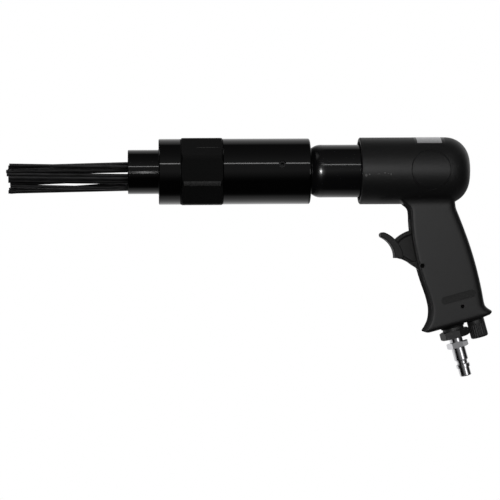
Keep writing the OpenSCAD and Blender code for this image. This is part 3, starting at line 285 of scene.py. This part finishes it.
def make_floor():
    """A plain white floor below the tool, which neither lights it nor shows in its gloss."""
    mat = bpy.data.materials.new("white_floor")
    mat.use_nodes = True
    tree = mat.node_tree
    tree.nodes.clear()
    out = tree.nodes.new("ShaderNodeOutputMaterial")
    glow = tree.nodes.new("ShaderNodeEmission")
    glow.inputs["Color"].default_value = WHITE
    glow.inputs["Strength"].default_value = 1.0
    tree.links.new(glow.outputs["Emission"], out.inputs["Surface"])
    corners = [(x * FLOOR_HALF, y * FLOOR_HALF, FLOOR_Z) for x, y in ((-1, -1), (1, -1), (1, 1), (-1, 1))]
    mesh = bpy.data.meshes.new("floor")
    mesh.from_pydata(corners, [], [(0, 1, 2, 3)])
    mesh.materials.append(mat)
    floor = bpy.data.objects.new("floor", mesh)
    bpy.context.collection.objects.link(floor)
    floor.visible_glossy = False
    floor.visible_diffuse = False


def make_lights():
    """A strip above the camera, a soft box on the right, a top light, and small lights kept to some pieces."""
    for name, place, target, width, height, watts, pieces in LIGHTS:
        data = bpy.data.lights.new(name, "AREA")
        data.shape = "RECTANGLE"
        data.size, data.size_y, data.energy = width, height, watts
        light = bpy.data.objects.new(name, data)
        bpy.context.collection.objects.link(light)
        light.location = place
        light.rotation_euler = (Vector(target) - Vector(place)).to_track_quat("-Z", "Y").to_euler()
        if pieces:
            lit = bpy.data.collections.new(name + "_pieces")
            for piece in pieces:
                lit.objects.link(bpy.data.objects[piece])
            light.light_linking.receiver_collection = lit
            light.visible_camera = False


make_camera()
make_studio()
make_floor()
bpy.context.scene.view_settings.view_transform = "Standard"


# Materials
def finish(name, colour, rough, metallic=0.0, specular=0.5, speck=0.12, rough_speck=0.06, grain_mm=0.6,
           stretch=(1, 1, 1), bump=0.0):
    """A Principled finish with grain: noise that varies its colour and roughness and may raise a bump."""
    mat = bpy.data.materials.new(name)
    mat.use_nodes = True
    tree = mat.node_tree
    shader = tree.nodes["Principled BSDF"]
    shader.inputs["Metallic"].default_value = metallic
    shader.inputs["Specular IOR Level"].default_value = specular
    coords = tree.nodes.new("ShaderNodeTexCoord")
    mapping = tree.nodes.new("ShaderNodeMapping")
    mapping.inputs["Scale"].default_value = stretch
    tree.links.new(coords.outputs["Object"], mapping.inputs["Vector"])
    noise = tree.nodes.new("ShaderNodeTexNoise")
    noise.inputs["Scale"].default_value = 1 / (grain_mm * MM)
    noise.inputs["Detail"].default_value = GRAIN_DETAIL
    tree.links.new(mapping.outputs["Vector"], noise.inputs["Vector"])
    grain = noise.outputs["Fac"]

    tint = tree.nodes.new("ShaderNodeValToRGB")
    dark, light = tint.color_ramp.elements
    dark.position, light.position = TINT_DARK, TINT_LIGHT
    dark.color = (*[c * (1 - speck) for c in colour], 1)
    light.color = (*[c * (1 + speck) for c in colour], 1)
    tree.links.new(grain, tint.inputs["Fac"])
    tree.links.new(tint.outputs["Color"], shader.inputs["Base Color"])
    roughness = add_range(tree, grain, 0, 1, rough - rough_speck, rough + rough_speck, smooth=False)
    tree.links.new(roughness, shader.inputs["Roughness"])
    if bump:
        raised = tree.nodes.new("ShaderNodeBump")
        raised.inputs["Strength"].default_value = bump
        raised.inputs["Distance"].default_value = grain_mm * MM * BUMP_SHARE
        tree.links.new(grain, raised.inputs["Height"])
        tree.links.new(raised.outputs["Normal"], shader.inputs["Normal"])
    return mat


def fade_along_x(mat, key, x_low, x_high, low, high):
    """Lets one value of a finish change along the tool, between two places in millimetres."""
    tree = mat.node_tree
    coords = tree.nodes.new("ShaderNodeTexCoord")
    split = tree.nodes.new("ShaderNodeSeparateXYZ")
    tree.links.new(coords.outputs["Object"], split.inputs["Vector"])
    value = add_range(tree, split.outputs["X"], x_low * MM, x_high * MM, low, high)
    tree.links.new(value, tree.nodes["Principled BSDF"].inputs[key])


gloss_black = finish("gloss_black", (0.002, 0.002, 0.0022), 0.07, rough_speck=0.02, grain_mm=0.5, bump=0.03)
cylinder_black = finish("cylinder_black", (0.002, 0.002, 0.0022), 0.07, grain_mm=0.5, bump=0.03)
for key, start, end, dull, full in SHOULDER_FADES:
    fade_along_x(cylinder_black, key, SHOULDER_END_X + start, SHOULDER_END_X + end, dull, full)
matte_black = finish("matte_black", (0.0045, 0.0045, 0.0045), 0.6, specular=0.3, bump=0.1)
satin_black = finish("satin_black", (0.012, 0.012, 0.012), 0.42, bump=0.1)
knob_black = finish("knob_black", (0.018, 0.018, 0.018), 0.45, bump=0.1)
trigger_black = finish("trigger_black", (0.014, 0.014, 0.014), 0.55, specular=0.25, bump=0.1)
hex_black = finish("hex_black", (0.018, 0.018, 0.018), 0.5, specular=0.6, bump=0.1)
# Painted shade: the pins' ends are near-black and almost without gloss, so their holes read dark
pin_painted_shade = finish("pin_painted_shade", (0.002, 0.002, 0.002), 0.5, specular=0.1)
housing_black = finish("housing_black", (0.0095, 0.0095, 0.0098), 0.45, specular=0.38, grain_mm=0.5, bump=0.12)
# Painted light: the grip's front faces take a copy of the housing's black that is lighter and has no gloss
front_painted_light = finish("front_painted_light", (0.07, 0.07, 0.071), 0.5, specular=0.0, grain_mm=0.5, bump=0.12)
# Painted shade: the recess's floor is darker than the housing; its coarse grain stands for the raised letters
recess_painted_shade = finish("recess_painted_shade", (0.007, 0.007, 0.007), 0.5, specular=0.27, speck=0.5, grain_mm=1.5,
                      bump=0.4)
worn_black = finish("worn_black", (0.09, 0.09, 0.09), 0.5, speck=0.4, grain_mm=0.3)
worn_edge = finish("worn_edge", (0.1, 0.1, 0.1), 0.5, speck=0.5, grain_mm=1.2)
film_black = finish("film_black", (0.012, 0.012, 0.0125), 0.3, grain_mm=2.0)
label_silver = finish("label_silver", (0.8, 0.8, 0.81), 0.35, metallic=0.5, speck=0.1, grain_mm=1.5)
needle_steel = finish("needle_steel", (0.09, 0.09, 0.092), 0.5, metallic=0.8, speck=0.5, grain_mm=0.8,
                      stretch=(0.05, 1, 1), bump=0.1)
steel = finish("steel", (0.45, 0.45, 0.46), 0.35, metallic=1.0)
chrome = finish("chrome", (0.75, 0.75, 0.77), 0.12, metallic=1.0, speck=0.03, rough_speck=0.03)
bronze = finish("bronze", (0.5, 0.33, 0.14), 0.35, metallic=1.0)
rubber = finish("rubber", (0.01, 0.01, 0.01), 0.7, bump=0.2)

# Finishes of the CAD nodes that no shell replaces
NODE_FINISH = {
    satin_black: ["lock_screw"],
    knob_black: ["regulator"],
    trigger_black: ["trigger"],
    hex_black: ["inlet_bushing"],
    # The pins' ends, painted dark for the shade in their holes
    pin_painted_shade: ["trigger_pin", "regulator_pin"],
    steel: ["needle_holder", "anvil", "piston", "valve_plate", "valve_disc", "valve_cap", "valve_dowel",
            "spring_washer", "throttle_stem", "inlet_strainer"],
    bronze: ["anvil_bushing", "throttle_bushing"],
    rubber: ["anvil_buffer", "throttle_seal", "regulator_seal", "inlet_washer"],
    chrome: ["air_plug"],
    needle_steel: [name for name in nodes if name.startswith("needle_") and name != "needle_holder"],
}
for mat, names in NODE_FINISH.items():
    for name in names:
        nodes[name].data.materials.clear()
        nodes[name].data.materials.append(mat)

for name, (grid, rounds) in SOFTENED.items():
    remesh = nodes[name].modifiers.new("remesh", "REMESH")
    remesh.mode = "VOXEL"
    remesh.voxel_size = grid * MM
    remesh.use_smooth_shade = True
    smooth = nodes[name].modifiers.new("smooth", "SMOOTH")
    smooth.factor, smooth.iterations = SMOOTH_SHARE, rounds


# Solids in mesh code
def solid(name, verts, faces):
    """A closed mesh with its faces turned outwards, from points in metres."""
    mesh = bpy.data.meshes.new(name)
    mesh.from_pydata([tuple(v) for v in verts], [], faces)
    mesh.update()
    bm = bmesh.new()
    bm.from_mesh(mesh)
    bmesh.ops.recalc_face_normals(bm, faces=bm.faces)
    bm.to_mesh(mesh)
    bm.free()
    obj = bpy.data.objects.new(name, mesh)
    bpy.context.collection.objects.link(obj)
    return obj


def ring_faces(rows, n):
    """Faces between loops of n points, where the last loop joins the first."""
    return [(i * n + k, i * n + (k + 1) % n, (i + 1) % rows * n + (k + 1) % n, (i + 1) % rows * n + k)
            for i in range(rows) for k in range(n)]


def tube_faces(rows, n):
    """Faces between loops of n points, with a flat end on the first loop and on the last."""
    return ring_faces(rows, n)[:-n] + [tuple(reversed(range(n))), tuple(range((rows - 1) * n, rows * n))]


def turned_points(rows, sides):
    """Circles of points about X from rows of x and radius, or of x and one radius for each side."""
    angles = np.linspace(0, 2 * math.pi, sides, endpoint=False)
    return [(x * MM, r * MM * math.cos(a), r * MM * math.sin(a))
            for x, radii in rows for r, a in zip(np.broadcast_to(radii, sides), angles)]


def turned(name, profile, sides):
    """A closed solid turned about X from (x, r) pairs in millimetres, with flat ends."""
    return solid(name, turned_points(profile, sides), tube_faces(len(profile), sides))


def bar(name, a, b, r, sides=BORE_SIDES, end_r=None):
    """A round bar between two points in millimetres, or a cone if its end has another radius."""
    a, b = Vector(a), Vector(b)
    obj = turned(name, [(0, r), ((b - a).length, end_r or r)], sides)
    turn = (b - a).to_track_quat("X", "Z").to_matrix().to_4x4()
    obj.data.transform(Matrix.Translation(a * MM) @ turn)
    return obj


def supported(section, near=0.25, long=1.5):
    """A closed section with extra points near the ends of its long sides, which keep smooth shading flat."""
    out = []
    for (x0, r0), (x1, r1) in zip(section, section[1:] + section[:1]):
        out.append((x0, r0))
        length = math.hypot(x1 - x0, r1 - r0)
        if length > long:
            for share in (near / length, 1 - near / length):
                out.append((x0 + (x1 - x0) * share, r0 + (r1 - r0) * share))
    return out


def ring(name, section, sides=TUBE_SIDES):
    """A closed ring turned about X from a closed section of (x, r) pairs in millimetres."""
    section = supported(section)
    return solid(name, turned_points(section, sides), ring_faces(len(section), sides))


def ribbon(name, rows, low_r, high_r):
    """A thin closed strip about X: rows of (x, x, degrees, degrees), its two edges, degrees from the top."""
    verts = []
    for r in (low_r, high_r):
        for row in rows:
            for x, degrees in ((row[0], row[2]), (row[1], row[3])):
                a = math.radians(degrees)
                verts.append((x * MM, -r * MM * math.sin(a), r * MM * math.cos(a)))
    n = 2 * len(rows)
    faces = []
    for i in range(0, n - 2, 2):
        faces += [(i, i + 1, i + 3, i + 2), (n + i, n + i + 2, n + i + 3, n + i + 1)]
        faces += [(i, i + 2, n + i + 2, n + i), (i + 1, n + i + 1, n + i + 3, i + 3)]
    faces += [(0, n, n + 1, 1), (n - 2, n - 1, 2 * n - 1, 2 * n - 2)]
    return solid(name, verts, faces)


def block(name, low, high):
    """A box between two corners in millimetres."""
    (x0, y0, z0), (x1, y1, z1) = low, high
    verts = [(x * MM, y * MM, z * MM) for x in (x0, x1) for y in (y0, y1) for z in (z0, z1)]
    faces = [(0, 1, 3, 2), (4, 6, 7, 5), (0, 4, 5, 1), (2, 3, 7, 6), (0, 2, 6, 4), (1, 5, 7, 3)]
    return solid(name, verts, faces)


def arc(x, r, radius, start, end, steps=6):
    """Points (x, r) of an arc about a centre, in degrees: 0 is along X and 90 away from the axis."""
    turns = [math.radians(start + (end - start) * k / steps) for k in range(steps + 1)]
    return [(x + radius * math.cos(a), r + radius * math.sin(a)) for a in turns]


def coil(name, x0, x1, mean_r, wire_r, curls, z, steps=32, sides=12):
    """A helical spring along X as one tube."""
    run = x1 - x0 - 2 * wire_r
    slope = math.atan2(run / curls, 2 * math.pi * mean_r)
    verts = []
    for i in range(steps * curls + 1):
        turn = 2 * math.pi * i / steps
        for k in range(sides):
            side = 2 * math.pi * k / sides
            out, up = mean_r + wire_r * math.cos(side), wire_r * math.sin(side)
            across = up * math.sin(slope)
            verts.append(((x0 + wire_r + run * i / (steps * curls) + up * math.cos(slope)) * MM,
                          (out * math.sin(turn) - across * math.cos(turn)) * MM,
                          (z - out * math.cos(turn) - across * math.sin(turn)) * MM))
    return solid(name, verts, tube_faces(steps * curls + 1, sides))


def apply_modifier(obj, kind, **settings):
    """Gives a piece a modifier and keeps its result as the mesh."""
    mod = obj.modifiers.new(kind.lower(), kind)
    for key, value in settings.items():
        setattr(mod, key, value)
    deps = bpy.context.evaluated_depsgraph_get()
    mesh = bpy.data.meshes.new_from_object(obj.evaluated_get(deps))
    obj.modifiers.clear()
    old = obj.data
    obj.data = mesh
    bpy.data.meshes.remove(old)


def combine(obj, other, operation):
    """Joins or cuts obj with another solid, which is then removed."""
    apply_modifier(obj, "BOOLEAN", object=other, operation=operation, solver="MANIFOLD")
    bpy.data.objects.remove(other)


def dress(obj, mats, node=None):
    """Smooth shading with sharp edges, finishes, the housing's body, and the hidden CAD node that obj stands
    for.
    """
    obj.data.shade_smooth()
    obj.data.set_sharp_from_angle(angle=SHARP_ANGLE)
    obj.data.materials.clear()
    for mat in mats:
        obj.data.materials.append(mat)
    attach(obj, "housing")
    if node:
        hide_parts(node)
    return obj


# Barrel
def make_nose():
    section = [(NOSE_STEP_X, NOSE_R), (NOSE_STEP_X, NOSE_STEP_R), (NOSE_FLANGE_X, NOSE_STEP_R),
               (NOSE_FLANGE_X, NOSE_FLANGE_R), (NOSE_END_X, NOSE_FLANGE_R), (NOSE_END_X, NOSE_BORE_R)]
    section += arc(NOSE_EDGE, NOSE_BORE_R + NOSE_EDGE, NOSE_EDGE, 270, 180)
    section += arc(NOSE_EDGE, NOSE_R - NOSE_EDGE, NOSE_EDGE, 180, 90)
    dress(ring("nose_shell", section), [gloss_black], "nose_tube")


def flats_radius(angle):
    """Radius of the sleeve's flats with rounded corners, at an angle about the axis."""
    half = math.pi / FLATS_COUNT
    off = abs((angle + half) % (2 * half) - half)
    inner = FLATS_R - FLATS_ROUND
    if FLATS_R * math.tan(off) <= inner * math.tan(half):
        return FLATS_R / math.cos(off)
    corner, turn = inner / math.cos(half), half - off
    return corner * math.cos(turn) + math.sqrt(FLATS_ROUND ** 2 - (corner * math.sin(turn)) ** 2)


def make_sleeve():
    """The collar, the flats and the spigot as one skin, with the flats' ends cut back along a curve."""
    flats = np.array([flats_radius(a) for a in np.linspace(0, 2 * math.pi, TUBE_SIDES, endpoint=False)])
    rows = arc(SLEEVE_X + SLEEVE_EDGE, SLEEVE_R - SLEEVE_EDGE, SLEEVE_EDGE, 180, 90)
    rows += [(rows[-1][0] + COLLAR_SUPPORT, SLEEVE_R), (FLATS_X - COLLAR_LEN - COLLAR_SUPPORT, SLEEVE_R),
             (FLATS_X - COLLAR_LEN, SLEEVE_R), (FLATS_X, SLEEVE_R - COLLAR_DROP)]
    for end_x, way, shares in ((FLATS_X, 1, np.linspace(0, 1, FLATS_ROWS)),
                               (TUBE_X, -1, np.linspace(1, 0, FLATS_ROWS))):
        for share in shares:
            limit = SLEEVE_R - COLLAR_DROP + FLATS_RISE * share ** FLATS_CURVE
            rows.append((end_x + way * (FLATS_GAP + FLATS_CUT * share), np.minimum(flats, limit)))
    rows += [(TUBE_X, SPIGOT_R), (SPIGOT_END_X, SPIGOT_R), (SPIGOT_END_X, SLEEVE_BORE_R),
             (NOSE_FLANGE_X, SLEEVE_BORE_R), (NOSE_FLANGE_X, SLEEVE_NECK_R), (SLEEVE_X, SLEEVE_NECK_R)]
    sleeve = solid("sleeve_shell", turned_points(rows, TUBE_SIDES), ring_faces(len(rows), TUBE_SIDES))
    dress(sleeve, [matte_black, gloss_black, worn_edge], "front_sleeve")
    for face in sleeve.data.polygons:
        x, turn = face.center.x / MM, math.degrees(math.atan2(face.center.z, -face.center.y))
        if x < FLATS_X - COLLAR_FINISH:
            face.material_index = 1
        elif FLATS_X + FLATS_CUT < x < TUBE_X - FLATS_CUT and WORN_TURN[0] < turn < WORN_TURN[1]:
            face.material_index = 2


def make_rear_tube():
    section = arc(TUBE_X + TUBE_EDGE, SLEEVE_R - TUBE_EDGE, TUBE_EDGE, 180, 90)
    section += [(x, SLEEVE_R) for x in np.linspace(SCREW_X - HOLE_SPAN, SCREW_X + HOLE_SPAN, HOLE_ROWS)]
    section += arc(TUBE_END_X - TUBE_ROUND, SLEEVE_R - TUBE_ROUND, TUBE_ROUND, 90, 0)
    section += [(TUBE_END_X, TUBE_BORE_R), (TUBE_SHOULDER_X, TUBE_BORE_R), (TUBE_SHOULDER_X, TUBE_SEAT_R),
                (TUBE_X, TUBE_SEAT_R)]
    tube = ring("rear_tube_shell", section)
    out = Vector((0, -math.cos(SCREW_ANGLE), math.sin(SCREW_ANGLE)))
    start, end = [Vector((SCREW_X, 0, 0)) + r * out for r in SCREW_CUT]
    combine(tube, bar("screw_cut", start, end, SCREW_R, SCREW_SIDES), "DIFFERENCE")
    dress(tube, [gloss_black], "rear_tube")


def make_cylinder():
    section = arc(SHOULDER_END_X, BARREL_R - SHOULDER_R, SHOULDER_R, 180 - SHOULDER_TURN, 90,
                  SHOULDER_STEPS)
    thread_r = MAIN_BORE_R - THREAD_PLAY
    section += [(THREAD_X, BARREL_R), (THREAD_X, thread_r), (BARREL_END_X, thread_r),
                (BARREL_END_X, BARREL_BORE_R), (BUSHING_END_X, BARREL_BORE_R), (BUSHING_END_X, BUSHING_R),
                (BARREL_X, BUSHING_R), (BARREL_X, NECK_R), (section[0][0], NECK_R)]
    cylinder = ring("cylinder_shell", section)
    for k in range(PORT_COUNT):
        a = math.radians(360 / PORT_COUNT * k)
        out = Vector((0, -math.sin(a), math.cos(a)))
        start, end = [Vector((BODY_X + EXHAUST_LEN / 2, 0, 0)) + r * out for r in PORT_CUT]
        combine(cylinder, bar("exhaust_port_cut", start, end, PORT_R, SMALL_SIDES), "DIFFERENCE")
    dress(cylinder, [cylinder_black], "hammer_cylinder")


def make_springs():
    """The two springs, each as one coil that stands for its CAD node."""
    for node, sizes, joint, seat_x, stroke in (
            ("return_spring", RETURN_SPRING, "needle_stroke", NOSE_END_X, NEEDLE_STROKE),
            ("throttle_spring", THROTTLE_SPRING, "throttle_slide", THROTTLE_END_X, THROTTLE_STROKE)):
        spring = dress(coil(node + "_coil", *sizes), [steel], node)
        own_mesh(spring)


# Pistol housing
def grip_point(p, q, y=0.0):
    """A point of the grip's own frame, p across it to the rear and q down its axis, in millimetres."""
    return Vector((GRIP_X + p * math.cos(GRIP_TILT) + q * math.sin(GRIP_TILT), y,
                   p * math.sin(GRIP_TILT) - q * math.cos(GRIP_TILT)))


def spline_rows(rows, steps):
    """Rows of a table with smooth rows between them."""
    padded = np.vstack([rows[:1], rows, rows[-1:]])
    out = []
    for i in range(len(rows) - 1):
        a, b, c, d = padded[i:i + 4]
        for u in np.arange(steps) / steps:
            out.append((2 * b + (c - a) * u + (2 * a - 5 * b + 4 * c - d) * u ** 2
                        + (3 * b - a - 3 * c + d) * u ** 3) / 2)
    return out + [rows[-1]]


def grip_section(depth, half_w):
    """Points (s, y) round the grip, s from its front, with small corners in front and large ones behind."""
    corners = [(GRIP_FRONT_R, GRIP_FRONT_R - half_w, GRIP_FRONT_R, 180),
               (depth - GRIP_BACK_R, GRIP_BACK_R - half_w, GRIP_BACK_R, 270),
               (depth - GRIP_BACK_R, half_w - GRIP_BACK_R, GRIP_BACK_R, 0),
               (GRIP_FRONT_R, half_w - GRIP_FRONT_R, GRIP_FRONT_R, 90)]
    return [point for s, y, r, start in corners for point in arc(s, y, r, start, start + 90, CORNER_STEPS)]


def grip_loop(front, back, half_w):
    """A section of the grip between its front and back edge, both given as (p, q)."""
    run = np.subtract(back, front)
    depth = np.linalg.norm(run)
    run = run / depth
    return [grip_point(front[0] + run[0] * s, front[1] + run[1] * s, y) * MM
            for s, y in grip_section(depth, half_w)]


def grip_solid():
    """The grip from its rows, down to the rounded foot."""
    loops = []
    for fp, fq, bp, bq, w in spline_rows(GRIP_ROWS, GRIP_STEPS):
        loops.append(grip_loop((fp * GRIP_DEPTH, fq * GRIP_LEN), (bp * GRIP_DEPTH, bq * GRIP_LEN),
                               w * GRIP_W / 2))
    fp, fq, bp, bq, w = GRIP_ROWS[-1]
    foot_q = max(fq, bq) * GRIP_LEN
    for inset, heel, drop in FOOT_ROWS:
        inset, heel = inset * GRIP_FRONT_R, heel * GRIP_FRONT_R
        q = foot_q + (GRIP_LEN - foot_q) * drop
        loops.append(grip_loop((fp * GRIP_DEPTH + inset, q), (bp * GRIP_DEPTH - heel, q),
                               w * GRIP_W / 2 - inset))
    verts = [point for loop in loops for point in loop]
    return solid("grip_form", verts, tube_faces(len(loops), len(loops[0])))


def body_solid():
    """The round body with its rounded end, a little too long in front."""
    dome = BODY_X + BODY_LEN - DOME_R
    profile = [(BODY_X - BODY_SPARE, BODY_R)]
    profile += [(x, BODY_R) for x in np.linspace(BODY_X, dome, BODY_ROWS)]
    for a in np.linspace(0, math.pi / 2, DOME_ROWS)[1:]:
        profile.append((dome + DOME_R * math.sin(a), BODY_R - DOME_R + DOME_R * math.cos(a)))
    return turned("housing_shell", profile, BODY_SIDES)


def stadium(name, middle, length, height, y0, y1, steps=16):
    """A stadium-shaped cutter across the grip, with its long side across the grip's axis."""
    r = height / 2
    outline = []
    for side, start in ((1, -90), (-1, 90)):
        for k in range(steps + 1):
            a = math.radians(start + 180 * k / steps)
            outline.append((middle[0] + side * (length / 2 - r) + r * math.cos(a), middle[1] - r * math.sin(a)))
    verts = [grip_point(p, q, y) * MM for y in (y0, y1) for p, q in outline]
    return solid(name, verts, tube_faces(2, len(outline)))


def circle_cut(steps=180):
    """Cutter for the plain engraved circle on the body's side: a V-shaped groove that follows the body."""
    groove = ((CIRCLE_R - CIRCLE_LINE, CIRCLE_DEPTH), (CIRCLE_R, -CIRCLE_DEPTH),
              (CIRCLE_R + CIRCLE_LINE, CIRCLE_DEPTH))
    verts = []
    for k in range(steps):
        a = 2 * math.pi * k / steps
        for r, rise in groove:
            z = CIRCLE_Z + r * math.sin(a)
            y = -math.sqrt((BODY_R + rise) ** 2 - z ** 2)
            verts.append(((CIRCLE_X + r * math.cos(a)) * MM, y * MM, z * MM))
    return solid("circle_cut", verts, ring_faces(steps, len(groove)))


def make_housing():
    """Body and grip blended into one form, and then cut by the bores, the slot, the recess and the circle."""
    housing = body_solid()
    combine(housing, grip_solid(), "UNION")
    apply_modifier(housing, "REMESH", mode="VOXEL", voxel_size=BLEND_GRID * MM)
    apply_modifier(housing, "SMOOTH", factor=SMOOTH_SHARE, iterations=BLEND_ROUNDS)
    front, foot = BODY_X, GRIP_LEN + FOOT_PAST
    recess_y = RECESS_DEPTH - GRIP_W / 2
    cutters = [
        bar("front_cut", (front - CUT_PAST, 0, 0), (front, 0, 0), 2 * BODY_R, WIDE_SIDES),
        bar("exhaust_cut", (front - CUT_PAST / 2, 0, 0), (front + EXHAUST_LEN, 0, 0), EXHAUST_R, WIDE_SIDES),
        bar("bore_cut", (front, 0, 0), (front + MAIN_BORE_LEN, 0, 0), MAIN_BORE_R),
        bar("chamber_cut", (front, 0, 0), (front + MAIN_BORE_LEN + CHAMBER_LEN, 0, 0), CHAMBER_R),
        block("slot_cut", (SLOT_FRONT_X, -SLOT_W / 2, SLOT_FOOT_Z), (SLOT_END_X, SLOT_W / 2, SLOT_TOP_Z)),
        bar("pin_cut", (PIN_X, -CUT_PAST, PIN_Z), (PIN_X, CUT_PAST, PIN_Z), PIN_R + PIN_PLAY, SMALL_SIDES),
        bar("throttle_cut", (SLOT_END_X - SLOT_PAST, 0, THROTTLE_Z), (THROTTLE_END_X, 0, THROTTLE_Z),
            THROTTLE_R),
        bar("port_cut", (PASSAGE_X, 0, THROTTLE_Z), (PASSAGE_X, 0, 0), PASSAGE_R, SMALL_SIDES),
        bar("inlet_cut", grip_point(0, INLET_TOP_Q), grip_point(0, foot), INLET_R),
        bar("inlet_passage_cut", grip_point(0, INLET_PASSAGE_Q), grip_point(0, GRIP_LEN), INLET_PASSAGE_R),
        bar("regulator_cut", grip_point(REGULATOR_P, REGULATOR_TOP_Q), grip_point(REGULATOR_P, foot),
            REGULATOR_R),
        bar("regulator_pin_cut", grip_point(REGULATOR_PIN_P, REGULATOR_PIN_Q, -CUT_PAST),
            grip_point(REGULATOR_PIN_P, REGULATOR_PIN_Q, CUT_PAST), REGULATOR_PIN_R + PIN_PLAY, SMALL_SIDES),
        stadium("recess_cut", (RECESS_P, RECESS_Q), RECESS_LEN, RECESS_H, -CUT_PAST, recess_y),
        ring("rim_cut", [(front - RIM_PAST, BODY_R + RIM_PAST),
                         (front - RIM_PAST, BODY_R - RIM_CHAMFER - RIM_PAST),
                         (front + RIM_CHAMFER + RIM_PAST, BODY_R + RIM_PAST)], WIDE_SIDES),
        circle_cut(),
    ]
    pins = ((PIN_X, PIN_Z, PIN_R), (*grip_point(REGULATOR_PIN_P, REGULATOR_PIN_Q).xz, REGULATOR_PIN_R))
    for side in (-1, 1):
        face_y = side * GRIP_W / 2
        for x, z, r in pins:
            cutters.append(bar("pin_bevel_cut", (x, face_y + side * BEVEL_PAST, z),
                               (x, face_y - side * PIN_BEVEL, z), r + BEVEL_PAST + PIN_BEVEL, SMALL_SIDES, r))
    for cutter in cutters:
        combine(housing, cutter, "DIFFERENCE")
    dress(housing, [housing_black, recess_painted_shade, front_painted_light], "pistol_housing")
    for face in housing.data.polygons:
        x, y, z = face.center / MM
        # The recess's floor takes the painted shade
        if abs(y - recess_y) < RECESS_NEAR and abs(face.normal.y) > RECESS_FLAT:
            face.material_index = 1
        # The grip's front faces take the painted light
        elif face.normal.x < GRIP_FRONT_TURN and x > SLOT_FRONT_X and z < GRIP_FRONT_TOP_Z:
            face.material_index = 2


# Thin pieces on the surface
def body_patch(name, x_span, angle, rise, mat):
    """A thin sheet over the body's top, as far down on one side as on the other."""
    rows = [(*x_span, a, a) for a in np.linspace(-angle, angle, PATCH_ROWS)]
    dress(ribbon(name, rows, BODY_R - PATCH_SINK, BODY_R + rise), [mat])


def make_marks():
    """Worn marks on the body's side and a worn line on the sleeve's flats."""
    for name, (x, degrees, length, across) in zip(MARK_NAMES, MARKS):
        rows = []
        for u, share in MARK_OUTLINE:
            half, turn = length * share / 2, degrees + across * u
            rows.append((x - half + u * MARK_SLANT, x + half, turn, turn))
        dress(ribbon(name, rows, BODY_R - MARK_SINK, BODY_R + MARK_RISE), [worn_black])
    line = ribbon("worn_line", WORN_LINE, FLATS_R - LINE_SINK, FLATS_R + LINE_RISE)
    dress(line, [worn_edge])


make_nose()
make_sleeve()
make_rear_tube()
make_cylinder()
make_springs()
make_housing()
body_patch("film", FILM_X, FILM_ANGLE, FILM_RISE, film_black)
body_patch("label", LABEL_X, LABEL_ANGLE, LABEL_RISE, label_silver)
make_marks()
make_lights()
